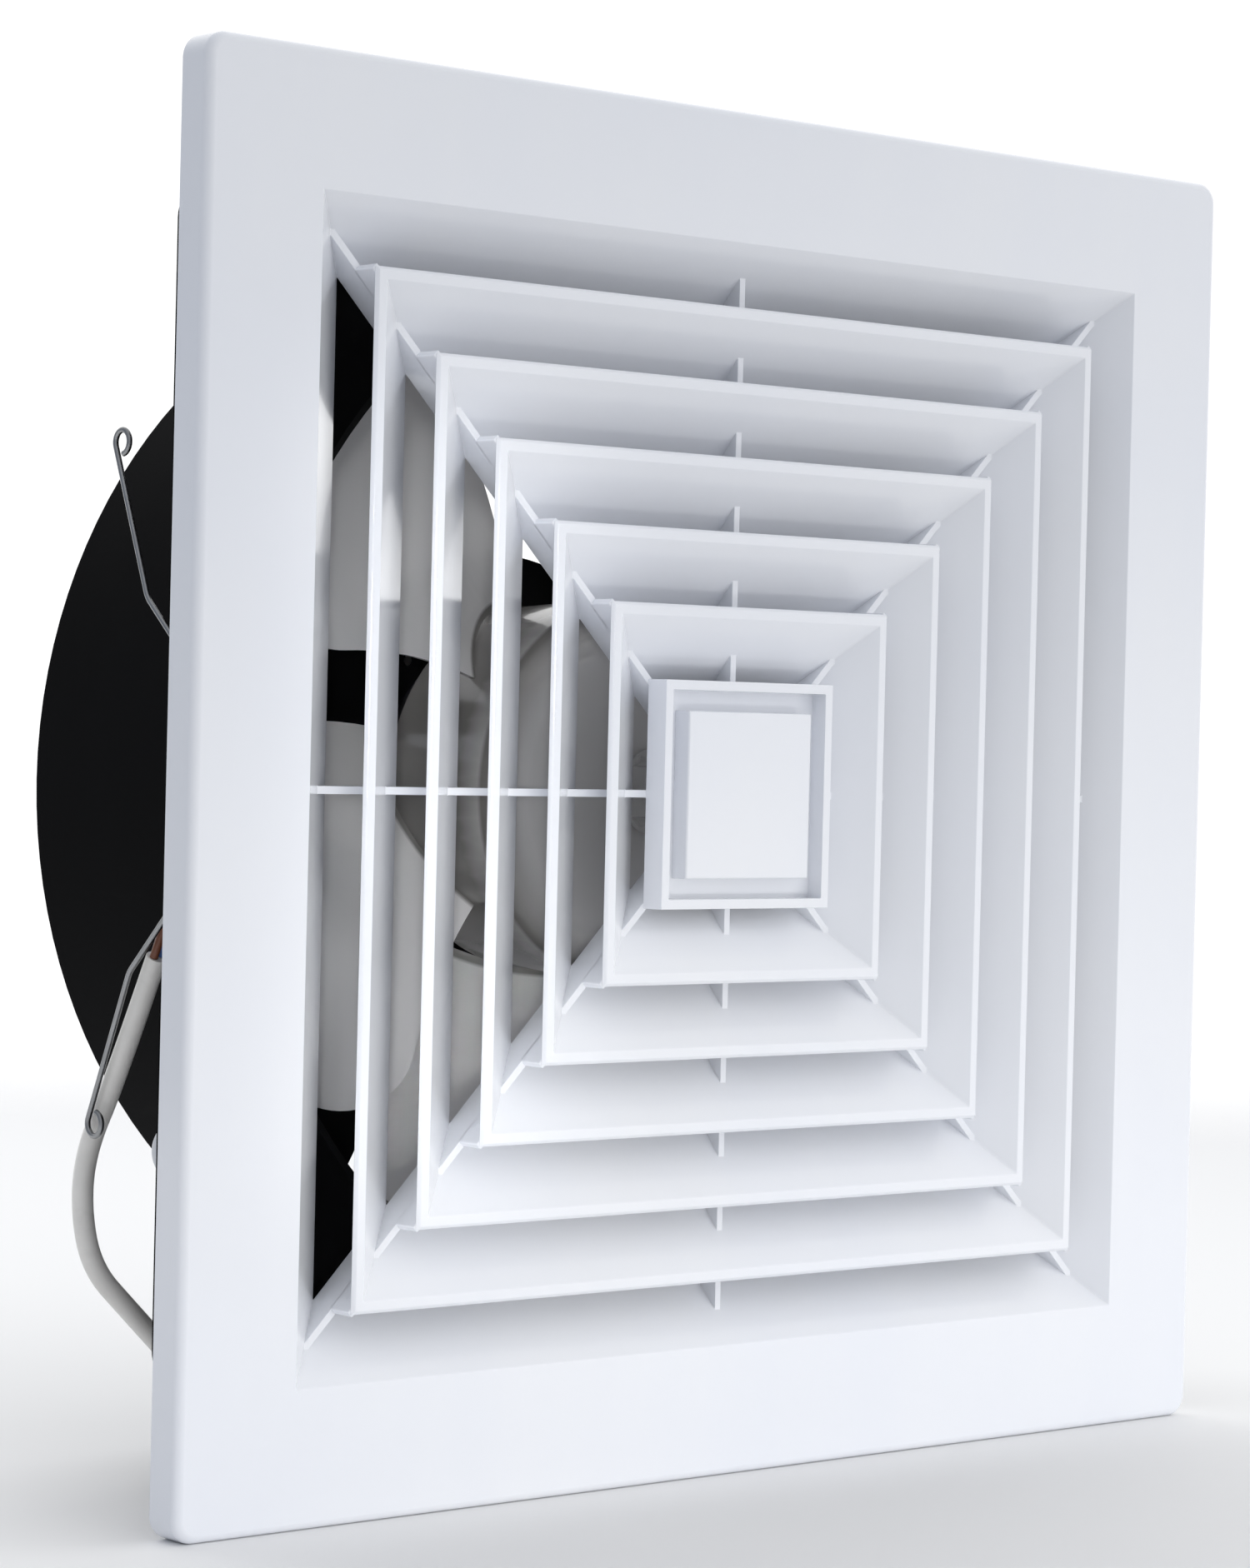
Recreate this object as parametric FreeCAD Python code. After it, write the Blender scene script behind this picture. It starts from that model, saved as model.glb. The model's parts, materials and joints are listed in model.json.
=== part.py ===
"""Square ceiling exhaust fan with a louvered grille, built as separate pieces.

Millimetres. The fan axis is Y, the grille faces -Y and +Z is up. The origin lies on the
fan axis in the plane of the panel's rear rim, where the fan meets the ceiling.
Every piece is written to parts/ as its own STEP file.
"""
import math
import os

import FreeCAD
import Part

V = FreeCAD.Vector
Y_AXIS = V(0, 1, 0)

# screws
SCREW_R = 1.5
SCREW_HEAD_R = 3.2
SCREW_HEAD = 2.2
SCREW_HEAD_TAPER = 0.72
CROSS_WIDTH = 0.8
CROSS_REACH = 0.55
CROSS_DEPTH = 1.1
HOUSING_SCREW = 13.0
BRACKET_SCREW = 9.0
MOTOR_SCREW = 13.0
FLANGE_SCREW = 5.5

# grille
PANEL_HALF = 180.0
PANEL_DEPTH = 11.0
PANEL_WALL = 2.5
PANEL_CORNER = 6.0
PANEL_EDGE_ROUND = 2.4
RECESS_FRONT_HALF = 145.4
RECESS_REAR_HALF = 128.0
RECESS_WALL = 2.4
RING_COUNT = 6
RING_OUTER_HALF = 128.6
RING_PITCH = 19.72
RING_WALL = 3.2
RING_EDGE = 0.9
TRAY_FRONT_GAP = 0.75
TRAY_WALL = 2.6
LOUVER_REAR_Y = 6.0
RIB_THICK = 2.0
RIB_FRONT_Y = -3.0
CENTRE_FLOOR = 2.0
CAP_HALF = 22.0
CAP_WALL = 2.0
CAP_FRONT_Y = -10.6
PEG_R = 1.8
PEG_REACH = 12.0
PEG_TURN = 22.5
BOSS_R = 4.0
BOSS_AT = 141.5
BOSS_FRONT_Y = -7.5

# housing
BOX_HALF = 151.0
BOX_WALL = 2.5
BOX_CORNER = 9.0
BOX_FRONT_Y = -6.0
BOX_REAR_Y = 42.0
PLATE_Y = 15.0
PLATE_THICK = 2.5
MOUTH_R = 147.8
MOUTH_DEPTH = 9.0
DRUM_R = 146.0
SPIGOT_R = 145.2
SPIGOT_Y = 84.5
DRUM_INNER_R = 142.7
DRUM_REAR_Y = 109.0
LIP_R = 121.0
LIP_THICK = 2.5

# motor bracket
DISC_R = 65.6
DISC_Y = 97.0
DISC_THICK = 3.0
ARM_ANGLE = 60.0
ARM_COUNT = 4
ARM_WIDTH = 22.0
ARM_DEPTH = 7.0
ARM_WALL = 2.5
ARM_START_R = 54.0
ARM_END_R = 139.0
FOOT_R = 124.0
FOOT_SCREW_R = 131.5
LEAD_ARM = 240.0
LEAD_SET = 1.8
NOTCH_LAND = 2.0
NOTCH_LENGTH = 26.0
NOTCH_TO_R = FOOT_R - NOTCH_LAND
NOTCH_FROM_R = NOTCH_TO_R - NOTCH_LENGTH
LEAD_TURN_BACK = 13.0
LEAD_PASS = 5.0
LEAD_REST_R = 78.0

# motor
MOTOR_R = 40.5
MOTOR_WALL = 2.5
MOTOR_FRONT_Y = 48.0
MOTOR_SPLIT_Y = 72.0
MOTOR_REAR_Y = 106.0
FLANGE_R = 52.0
FLANGE_THICK = 3.0
FLANGE_SCREW_R = 46.5
FLANGE_TURN = 72.0
MOTOR_FRONT_ROUND = 3.0
MOTOR_REAR_ROUND = 2.5
EAR_R = 3.4
EAR_GAP = 0.3
EAR_LENGTH = 8.0
EAR_TURN = 45.0
EAR_ROOM = 0.6
EAR_AT = MOTOR_R + SCREW_HEAD_R + EAR_GAP
SLOT_COUNT = 10
SLOT_WIDTH = 3.2
SLOT_MARGIN = 3.0
SLOT_TURN = 6.0
BEARING_R = 13.0
BEARING_WIDTH = 8.0
POCKET_WALL = 2.5
FRONT_BEARING_Y = 51.0
REAR_BEARING_Y = 90.5
STATOR_GAP = 0.1
STATOR_YOKE = 4.9
COIL_BACK_GAP = 2.5
STATOR_R = MOTOR_R - MOTOR_WALL - STATOR_GAP
STATOR_INNER_R = STATOR_R - STATOR_YOKE
COIL_OUTER_R = STATOR_INNER_R - COIL_BACK_GAP
STATOR_Y = 62.0
STATOR_DEPTH = 20.0
POLE_COUNT = 4
POLE_WIDTH = 13.0
POLE_SHOE = 4.0
COIL_WALL = 5.0
COIL_GAP = 0.3
AIR_GAP = 0.45
ROTOR_R = 22.0
SHADE_WIDTH = 2.0

# rotor
SHAFT_R = 5.0
SHAFT_REAR_Y = 99.0
SHAFT_STEP_Y = 31.0
THREAD_R = 4.0
THREAD_FRONT_Y = 20.5
RUN_FIT = 0.03
SLIDE_FIT = 0.05
BLADE_COUNT = 5
BLADE_TIP_R = 123.0
BLADE_ROOT_R = 50.2
BLADE_THICK = 2.2
BLADE_FRONT_Y = 53.0
BLADE_RISE = 38.0
BLADE_CAMBER = 2.4
BLADE_ROOT_ANGLE = 117.3
BLADE_TIP_ANGLE = 135.5
BLADE_ROOT_SPREAD = 55.2
BLADE_TIP_SPREAD = 61.3
BLADE_ROWS = 8
BLADE_OVER = 4.0
BLADE_OVER_PART = 0.06
BLADE_NOSE_ROUND = 19.0
BLADE_TAIL_ROUND = 14.0
HUB_R = 52.7
HUB_REAR_R = 50.6
HUB_WALL = 2.0
HUB_SHOULDER_Y = 39.0
HUB_FRONT_Y = 29.0
HUB_REAR_Y = 80.0
HUB_FLAT_R = 30.0
HUB_CURVE = [(41.0, 1.4), (47.5, 4.0), (51.3, 7.2)]
HUB_INSIDE = [(47.7, 7.5), (40.0, 5.0)]
HUB_FIN_COUNT = 6
HUB_FIN_THICK = 1.8
HUB_BOSS_R = 10.0
HUB_BOSS_Y = 46.0
PIN_R = 1.5
PIN_Y = 44.0
PIN_LENGTH = 17.0
WASHER_R = 9.0
WASHER_THICK = 1.5
NUT_R = 12.0
NUT_LENGTH = 9.0
NUT_FLUTES = 8

# hanging springs
WIRE_R = 0.75
COIL_R = 4.5
COIL_Y = 1.9
COIL_PITCH = 1.95
UPPER_PLANE = 152.9
LOWER_PLANE = 158.6
UPPER_REST = 41.25
LOWER_REST = 43.75
UPPER_ARM_LENGTH = 65.85
LOWER_ARM_LENGTH = 63.2
UPPER_ARM_BEND = 26.7
LOWER_ARM_BEND = 22.4
BEND_R = 7.0
TIP_LENGTH = 41.5
EYE_R = 3.05
EYE_TURN = 282.0
CURL_QUARTERS = 5
SHOULDER_R = 3.4
SHOULDER_END = 160.0
SPRING_HEAD_R = 6.5
SPRING_HEAD = 2.4
SPRING_ROOM = 0.5
SPRING_BOSS_R = 5.0
SPRING_BOSS = 7.0
SPRING_THREAD = 8.0
SPRING_THREAD_R = 2.0
SPRING_SLOT_WIDTH = 1.2

# supply cord
GLAND_ANGLE = 219.0
GLAND_Y = 74.0
GLAND_DOME_R = 9.2
GLAND_REACH = 153.0
GLAND_SLEEVE_R = 4.6
GLAND_SLEEVE = 14.0
GLAND_NECK_R = 5.0
GLAND_SEAT = 0.35
GLAND_NECK_END = 8.0
GLAND_BORE = 8.0
GLAND_NUT_R = 7.5
CORD_R = 2.75
CORD_INSERT = 7.5
LEAD_ENTRY_R = DRUM_INNER_R - 4.6
LEAD_R = 1.8
LEAD_ROOM = 0.4
CORE_R = 1.1
STRAND_R = 0.36
STRAND_COUNT = 3
STRAND_SPACE = 0.42
STRAND_LEAN = 0.07
CORD_FIRST_RUN = 27.0
CORD_ROUTE = [
    (-97.0, 71.4, -140.6), (-109.1, 65.9, -153.5), (-126.7, 60.1, -152.8), (-146.2, 59.7, -134.1),
    (-156.0, 62.5, -123.0), (-157.2, 66.0, -106.9), (-154.3, 67.7, -92.8),
    (-154.1, 56.7, -75.9), (-154.1, 39.2, -43.0)]
CORE_GAP = 0.1
BROWN_SIDE = (-1.15, -0.3)
BLUE_SIDE = (1.2, 0.6)
BROWN_ROUTE = [(-155.3, 33.2, -32.2), (-154.7, 28.4, -21.0), (-153.9, 26.0, -9.0)]
BLUE_ROUTE = [(-152.9, 35.2, -33.0), (-152.6, 31.6, -22.5), (-152.6, 30.3, -11.0)]
STRAND_LENGTH = 7.5

NODES = {}


def box(x0, x1, y0, y1, z0, z1):
    return Part.makeBox(x1 - x0, y1 - y0, z1 - z0, V(x0, y0, z0))


def rod(start, direction, radius, length):
    return Part.makeCylinder(radius, length, V(*start), V(*direction))


def rod_y(radius, y0, y1, x=0.0, z=0.0):
    return Part.makeCylinder(radius, y1 - y0, V(x, y0, z), Y_AXIS)


def polar(radius, angle, y=0.0):
    turn = math.radians(angle)
    return V(radius * math.cos(turn), y, radius * math.sin(turn))


def turned(shape, angle):
    """Turn a shape about the fan axis, from +X towards +Z."""
    copy = shape.copy()
    copy.rotate(V(0, 0, 0), Y_AXIS, -angle)
    return copy


def lathe(points):
    """Turn a closed outline of (radius, y) pairs round the fan axis."""
    corners = [V(r, y, 0) for r, y in points]
    face = Part.Face(Part.makePolygon(corners + corners[:1]))
    return face.revolve(V(0, 0, 0), Y_AXIS, 360)


def square(half, y):
    corners = [V(-half, y, -half), V(half, y, -half), V(half, y, half), V(-half, y, half)]
    return Part.makePolygon(corners + corners[:1])


def frustum(front_half, front_y, rear_half, rear_y):
    return Part.makeLoft([square(front_half, front_y), square(rear_half, rear_y)], True, True)


def sloped_ring(front_half, front_y, rear_half, rear_y, wall, edge):
    """A square ring of sloping vanes, its wall measured across the opening, its front corner cut back."""
    outer = frustum(front_half, front_y + edge, rear_half, rear_y)
    outer = outer.fuse(frustum(front_half - edge, front_y, front_half, front_y + edge))
    slope = (rear_half - front_half) / (rear_y - front_y)
    over = 1.0
    inner = frustum(front_half - wall - slope * over, front_y - over,
                    rear_half - wall + slope * over, rear_y + over)
    return outer.cut(inner)


def round_box(half, y0, y1, corner):
    solid = box(-half, half, y0, y1, -half, half)
    edges = [e for e in solid.Edges if abs(e.tangentAt(e.FirstParameter).y) > 0.9]
    return solid.makeFillet(corner, edges)


def join(shapes):
    first = shapes[0]
    return first.fuse(shapes[1:]).removeSplitter() if len(shapes) > 1 else first


def screw(seat, direction, length):
    """A pan-head cross screw: seat under the head, direction from the head to the tip."""
    way = V(*direction)
    back = way * -1
    base = V(*seat)
    head = Part.makeCone(SCREW_HEAD_R, SCREW_HEAD_R * SCREW_HEAD_TAPER, SCREW_HEAD, base, back)
    shank = Part.makeCylinder(SCREW_R, length, base, way)
    side = V(0, 0, 1) if abs(way.z) < 0.5 else V(1, 0, 0)
    other = way.cross(side)
    top = base + back * SCREW_HEAD
    solid = head.fuse(shank)
    for first, second in ((side, other), (other, side)):
        reach = SCREW_HEAD_R * CROSS_REACH
        corner = top - first * reach - second * (CROSS_WIDTH / 2) - back * CROSS_DEPTH
        wire = Part.makePolygon([
            corner, corner + first * (2 * reach), corner + first * (2 * reach) + second * CROSS_WIDTH,
            corner + second * CROSS_WIDTH, corner])
        bar = Part.Face(wire).extrude(back * (2 * CROSS_DEPTH))
        solid = solid.cut(bar)
    return solid


def tube(points, radius, label):
    """A round tube along straight runs joined by tangent arcs."""
    knots = [V(*p) for p in points]
    edges = []
    here = knots[0]
    radii = []
    for before, corner, after in zip(knots, knots[1:], knots[2:]):
        way_in = (corner - before).normalize()
        way_out = (after - corner).normalize()
        half_turn = way_in.getAngle(way_out) / 2
        run = min((corner - before).Length, (after - corner).Length)
        trim = 0.45 * run
        bend = trim / math.tan(half_turn)
        radii.append(round(bend, 1))
        start = corner - way_in * trim
        end = corner + way_out * trim
        inward = (way_out - way_in).normalize()
        middle = corner + inward * (bend / math.cos(half_turn) - bend)
        edges.append(Part.LineSegment(here, start).toShape())
        edges.append(Part.Arc(start, middle, end).toShape())
        here = end
    edges.append(Part.LineSegment(here, knots[-1]).toShape())
    path = Part.Wire(edges)
    ring = Part.Wire(Part.makeCircle(radius, knots[0], knots[1] - knots[0]))
    solid = Part.BRepOffsetAPI.MakePipeShell(path)
    solid.add(ring)
    solid.build()
    solid.makeSolid()
    made = solid.shape()
    ideal = math.pi * radius ** 2 * path.Length
    print(label, "bend radii", radii, "volume ratio", round(made.Volume / ideal, 4))
    return made


def spring_room(side):
    """The space behind the panel that a spring's post and curls take up."""
    reach = SHOULDER_END + SPRING_HEAD + SPRING_ROOM - BOX_HALF
    return rod((side * BOX_HALF, COIL_Y, 0), (side, 0, 0), SPRING_HEAD_R + SPRING_ROOM, reach)


def make_grille():
    front = -PANEL_DEPTH
    tray_front = front + TRAY_FRONT_GAP
    body = round_box(PANEL_HALF, front, 0.0, PANEL_CORNER)
    face_edges = [e for e in body.Edges if all(abs(v.Y - front) < 1e-6 for v in e.Vertexes)]
    body = body.makeFillet(PANEL_EDGE_ROUND, face_edges)
    hollow = round_box(PANEL_HALF - PANEL_WALL, front + PANEL_WALL, 1.0, PANEL_CORNER - PANEL_WALL)
    body = body.cut([hollow, spring_room(-1), spring_room(1)])
    recess = frustum(RECESS_FRONT_HALF, front, RECESS_REAR_HALF, LOUVER_REAR_Y)
    shroud = frustum(RECESS_FRONT_HALF + RECESS_WALL, front,
                     RECESS_REAR_HALF + RECESS_WALL, LOUVER_REAR_Y)
    slope = (RECESS_REAR_HALF - RECESS_FRONT_HALF) / (LOUVER_REAR_Y - front)
    opening = frustum(RECESS_FRONT_HALF - slope, front - 1.0,
                      RECESS_REAR_HALF + slope, LOUVER_REAR_Y + 1.0)
    body = body.fuse(shroud)
    for sx in (-1, 1):
        for sz in (-1, 1):
            body = body.fuse(rod_y(BOSS_R, BOSS_FRONT_Y, PLATE_Y, sx * BOSS_AT, sz * BOSS_AT))
    body = body.cut(opening)
    for sx in (-1, 1):
        for sz in (-1, 1):
            hole = rod_y(SCREW_R + SLIDE_FIT, 1.0, PLATE_Y + 1.0, sx * BOSS_AT, sz * BOSS_AT)
            body = body.cut(hole)
    halves = [RING_OUTER_HALF - RING_PITCH * k for k in range(RING_COUNT)]
    rings = [sloped_ring(halves[k], front, halves[k + 1], LOUVER_REAR_Y, RING_WALL, RING_EDGE)
             for k in range(RING_COUNT - 1)]
    centre = halves[-1]
    tray = box(-centre, centre, tray_front, RIB_FRONT_Y, -centre, centre)
    inside = centre - TRAY_WALL
    tray = tray.cut(box(-inside, inside, tray_front - 1, RIB_FRONT_Y - CENTRE_FLOOR, -inside, inside))
    reach = RECESS_FRONT_HALF
    bar = box(-reach * 1.5, reach * 1.5, RIB_FRONT_Y, LOUVER_REAR_Y, -RIB_THICK / 2, RIB_THICK / 2)
    ribs = [turned(bar, angle) for angle in (0, 45, 90, 135)]
    ribs = [rib.common(recess) for rib in ribs]
    lattice = join(rings + [tray] + ribs)
    for sign in (-1, 1):
        at = polar(sign * PEG_REACH, PEG_TURN)
        lattice = lattice.cut(rod_y(PEG_R + SLIDE_FIT, tray_front, LOUVER_REAR_Y, at.x, at.z))
    return body.fuse(lattice).removeSplitter()


def make_centre_cap():
    seat = RIB_FRONT_Y - CENTRE_FLOOR
    cap = box(-CAP_HALF, CAP_HALF, CAP_FRONT_Y, seat, -CAP_HALF, CAP_HALF)
    rim = [e for e in cap.Edges if all(abs(v.Y - CAP_FRONT_Y) < 1e-6 for v in e.Vertexes)]
    cap = cap.makeFillet(0.6, rim)
    inside = CAP_HALF - CAP_WALL
    cap = cap.cut(box(-inside, inside, CAP_FRONT_Y + CAP_WALL, seat + 1, -inside, inside))
    for sign in (-1, 1):
        at = polar(sign * PEG_REACH, PEG_TURN)
        cap = cap.fuse(rod_y(PEG_R, CAP_FRONT_Y + CAP_WALL / 2, RIB_FRONT_Y + 1.5, at.x, at.z))
    return cap


def make_housing():
    skirt = round_box(BOX_HALF, BOX_FRONT_Y, BOX_REAR_Y, BOX_CORNER)
    inner_half = BOX_HALF - BOX_WALL
    inner_corner = BOX_CORNER - BOX_WALL
    skirt = skirt.cut(round_box(inner_half, BOX_FRONT_Y - 1, PLATE_Y, inner_corner))
    skirt = skirt.cut(round_box(inner_half, PLATE_Y + PLATE_THICK, BOX_REAR_Y + 1, inner_corner))
    mouth_end = PLATE_Y + MOUTH_DEPTH
    throat = lathe([(0, PLATE_Y), (inner_half, PLATE_Y), (DRUM_R, mouth_end),
                    (DRUM_R, SPIGOT_Y), (SPIGOT_R, SPIGOT_Y), (SPIGOT_R, DRUM_REAR_Y), (0, DRUM_REAR_Y)])
    shell = skirt.fuse(throat)
    lip_y = DRUM_REAR_Y - LIP_THICK
    middle = (MOUTH_R + DRUM_INNER_R) / 2 - 0.9
    bore = lathe([(0, PLATE_Y - 2), (MOUTH_R, PLATE_Y - 2), (MOUTH_R, PLATE_Y),
                  (middle, PLATE_Y + MOUTH_DEPTH * 0.35),
                  (DRUM_INNER_R, mouth_end), (DRUM_INNER_R, lip_y), (LIP_R, lip_y),
                  (LIP_R, DRUM_REAR_Y + 1), (0, DRUM_REAR_Y + 1)])
    shell = shell.cut(bore)
    for sign in (-1, 1):
        boss = rod((sign * (inner_half + 0.5), COIL_Y, 0), (-sign, 0, 0), SPRING_BOSS_R, SPRING_BOSS)
        shell = shell.fuse(boss)
        hole = rod((sign * (BOX_HALF + 1), COIL_Y, 0), (-sign, 0, 0), SPRING_THREAD_R + SLIDE_FIT,
                   BOX_WALL + SPRING_BOSS + 2)
        shell = shell.cut(hole)
    for sx in (-1, 1):
        for sz in (-1, 1):
            hole = rod_y(SCREW_R + SLIDE_FIT, PLATE_Y - 1, PLATE_Y + PLATE_THICK + 1,
                         sx * BOSS_AT, sz * BOSS_AT)
            shell = shell.cut(hole)
    for k in range(ARM_COUNT):
        at = polar(FOOT_SCREW_R, ARM_ANGLE + 90 * k)
        shell = shell.cut(rod_y(SCREW_R + SLIDE_FIT, lip_y - 1, DRUM_REAR_Y + 1, at.x, at.z))
    out = polar(1.0, GLAND_ANGLE)
    start = polar(DRUM_INNER_R - 4, GLAND_ANGLE, GLAND_Y)
    shell = shell.cut(Part.makeCylinder(GLAND_NECK_R + SLIDE_FIT, 10, start, out))
    return shell.removeSplitter()


def make_bracket():
    disc = rod_y(DISC_R, DISC_Y, DISC_Y + DISC_THICK)
    rear = DISC_Y + ARM_DEPTH
    lip_y = DRUM_REAR_Y - LIP_THICK
    half = ARM_WIDTH / 2
    arms = []
    for k in range(ARM_COUNT):
        angle = ARM_ANGLE + 90 * k
        arm = box(ARM_START_R, ARM_END_R, DISC_Y, rear, -half, half)
        arm = arm.cut(box(ARM_START_R - 1, FOOT_R, DISC_Y + ARM_WALL, rear + 1,
                          -half + ARM_WALL, half - ARM_WALL))
        if abs(angle - LEAD_ARM) < 1e-6:
            arm = arm.cut(box(NOTCH_FROM_R, NOTCH_TO_R, DISC_Y + ARM_WALL, rear + 1, -half - 1, 0))
        foot = box(FOOT_R, ARM_END_R, DISC_Y, lip_y, -half, half)
        arms.append(turned(arm.fuse(foot), angle))
    solid = disc.fuse(arms)
    solid = solid.common(rod_y(DRUM_INNER_R - 1.2, DISC_Y - 1, DRUM_REAR_Y))
    solid = solid.cut(rod_y(MOTOR_R + SLIDE_FIT, DISC_Y - 1, rear + 1))
    for k in range(ARM_COUNT):
        at = polar(FOOT_SCREW_R, ARM_ANGLE + 90 * k)
        solid = solid.cut(rod_y(SCREW_R + SLIDE_FIT, DISC_Y + 1.5, lip_y + 1, at.x, at.z))
        at = polar(FLANGE_SCREW_R, ARM_ANGLE + FLANGE_TURN + 90 * k)
        solid = solid.cut(rod_y(SCREW_R + SLIDE_FIT, DISC_Y - 1, DISC_Y + DISC_THICK + 1, at.x, at.z))
        room = rod_y(EAR_R + EAR_ROOM, DISC_Y - 1, DISC_Y + DISC_THICK + 1, EAR_AT)
        solid = solid.cut(turned(room, ARM_ANGLE + EAR_TURN + 90 * k))
    return solid.removeSplitter()


def pocket(y_outer, y_inner):
    """The bearing pocket inside a motor end wall, open towards the rotor."""
    low, high = min(y_outer, y_inner), max(y_outer, y_inner)
    return rod_y(BEARING_R + POCKET_WALL, low, high)


def ear(angle, y0, y1):
    """A lug on the motor's side that a screw passes through."""
    web = box(MOTOR_R - MOTOR_WALL / 2, EAR_AT, y0, y1, -EAR_R, EAR_R)
    return turned(web.fuse(rod_y(EAR_R, y0, y1, EAR_AT)), angle)


def make_front_shell():
    shell = rod_y(MOTOR_R, MOTOR_FRONT_Y, MOTOR_SPLIT_Y)
    rim = [e for e in shell.Edges if all(abs(v.Y - MOTOR_FRONT_Y) < 1e-6 for v in e.Vertexes)]
    shell = shell.makeFillet(MOTOR_FRONT_ROUND, rim)
    inner = MOTOR_R - MOTOR_WALL
    shell = shell.cut(rod_y(inner, MOTOR_FRONT_Y + MOTOR_WALL, MOTOR_SPLIT_Y + 1))
    seat = FRONT_BEARING_Y + BEARING_WIDTH
    shell = shell.fuse(pocket(MOTOR_FRONT_Y + MOTOR_WALL, seat))
    shell = shell.cut(rod_y(BEARING_R + RUN_FIT, FRONT_BEARING_Y, seat + 1))
    shell = shell.cut(rod_y(SHAFT_R + 1.0, MOTOR_FRONT_Y - 1, seat))
    for k in range(ARM_COUNT):
        shell = shell.fuse(ear(ARM_ANGLE + EAR_TURN + 90 * k, MOTOR_SPLIT_Y - EAR_LENGTH, MOTOR_SPLIT_Y))
    for k in range(ARM_COUNT):
        at = polar(EAR_AT, ARM_ANGLE + EAR_TURN + 90 * k)
        shell = shell.cut(rod_y(SCREW_R + SLIDE_FIT, MOTOR_FRONT_Y, MOTOR_SPLIT_Y + 1, at.x, at.z))
    return shell.removeSplitter()


def make_rear_shell():
    shell = rod_y(MOTOR_R, MOTOR_SPLIT_Y, MOTOR_REAR_Y)
    rim = [e for e in shell.Edges if all(abs(v.Y - MOTOR_REAR_Y) < 1e-6 for v in e.Vertexes)]
    shell = shell.makeFillet(MOTOR_REAR_ROUND, rim)
    flange_y = DISC_Y + DISC_THICK
    shell = shell.fuse(rod_y(FLANGE_R, flange_y, flange_y + FLANGE_THICK))
    inner = MOTOR_R - MOTOR_WALL
    shell = shell.cut(rod_y(inner, MOTOR_SPLIT_Y - 1, MOTOR_REAR_Y - MOTOR_WALL))
    shell = shell.fuse(pocket(MOTOR_REAR_Y - MOTOR_WALL, REAR_BEARING_Y))
    shell = shell.cut(rod_y(BEARING_R + RUN_FIT, REAR_BEARING_Y - 1, REAR_BEARING_Y + BEARING_WIDTH))
    shell = shell.cut(rod_y(SHAFT_R + 1.0, REAR_BEARING_Y - 1, SHAFT_REAR_Y + 1))
    slot = box(BEARING_R + POCKET_WALL + SLOT_MARGIN, inner - SLOT_MARGIN,
               MOTOR_REAR_Y - MOTOR_WALL - 1, MOTOR_REAR_Y + 1, -SLOT_WIDTH / 2, SLOT_WIDTH / 2)
    for k in range(SLOT_COUNT):
        shell = shell.cut(turned(slot, k * 360.0 / SLOT_COUNT + SLOT_TURN))
    for k in range(ARM_COUNT):
        shell = shell.fuse(ear(ARM_ANGLE + EAR_TURN + 90 * k, MOTOR_SPLIT_Y, MOTOR_SPLIT_Y + EAR_LENGTH))
    for k in range(ARM_COUNT):
        at = polar(EAR_AT, ARM_ANGLE + EAR_TURN + 90 * k)
        ear_end = MOTOR_SPLIT_Y + EAR_LENGTH
        shell = shell.cut(rod_y(SCREW_R + SLIDE_FIT, MOTOR_SPLIT_Y - 1, ear_end + 1, at.x, at.z))
        at = polar(FLANGE_SCREW_R, ARM_ANGLE + FLANGE_TURN + 90 * k)
        shell = shell.cut(rod_y(SCREW_R + SLIDE_FIT, flange_y - 1, flange_y + FLANGE_THICK + 1, at.x, at.z))
    out = polar(1.0, LEAD_ARM)
    start = polar(MOTOR_R - 6, LEAD_ARM, DISC_Y + ARM_DEPTH - LEAD_SET)
    shell = shell.cut(Part.makeCylinder(LEAD_R + SLIDE_FIT, 12, start, out))
    notch = box(MOTOR_R, FLANGE_R + 1, flange_y - 1, flange_y + FLANGE_THICK + 1,
                -LEAD_R - LEAD_ROOM, LEAD_R + LEAD_ROOM)
    shell = shell.cut(turned(notch, LEAD_ARM))
    return shell.removeSplitter()


def make_bearing(y):
    ring = lathe([(SHAFT_R + RUN_FIT, y), (BEARING_R, y), (BEARING_R, y + BEARING_WIDTH),
                  (SHAFT_R + RUN_FIT, y + BEARING_WIDTH)])
    for face_y, way in ((y, 1), (y + BEARING_WIDTH, -1)):
        low, high = sorted((face_y - way * 0.1, face_y + way * 0.6))
        ring = ring.cut(rod_y(BEARING_R - 2.5, low, high).cut(rod_y(SHAFT_R + 2.0, low, high)))
    return ring


def pole_block(width, from_r, to_r, y0, y1):
    return box(from_r, to_r, y0, y1, -width / 2, width / 2)


def make_stator():
    end = STATOR_Y + STATOR_DEPTH
    core = rod_y(STATOR_R, STATOR_Y, end).cut(rod_y(STATOR_INNER_R, STATOR_Y - 1, end + 1))
    face_r = ROTOR_R + AIR_GAP
    for k in range(POLE_COUNT):
        neck = pole_block(POLE_WIDTH, face_r - 2, STATOR_INNER_R + 1, STATOR_Y, end)
        shoe = pole_block(POLE_WIDTH + 12, face_r - 6, face_r + POLE_SHOE, STATOR_Y, end)
        shoe = shoe.common(rod_y(face_r + POLE_SHOE, STATOR_Y, end))
        core = core.fuse(turned(neck.fuse(shoe), 45 + 90 * k))
    core = core.cut(rod_y(face_r, STATOR_Y - 1, end + 1))
    notch = box(face_r - 4, face_r + 1.6, STATOR_Y - 1, end + 1, 0, SHADE_WIDTH)
    for k in range(POLE_COUNT):
        offset = notch.translated(V(0, 0, POLE_WIDTH / 2))
        core = core.cut(turned(offset, 45 + 90 * k))
    return core.removeSplitter()


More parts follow.
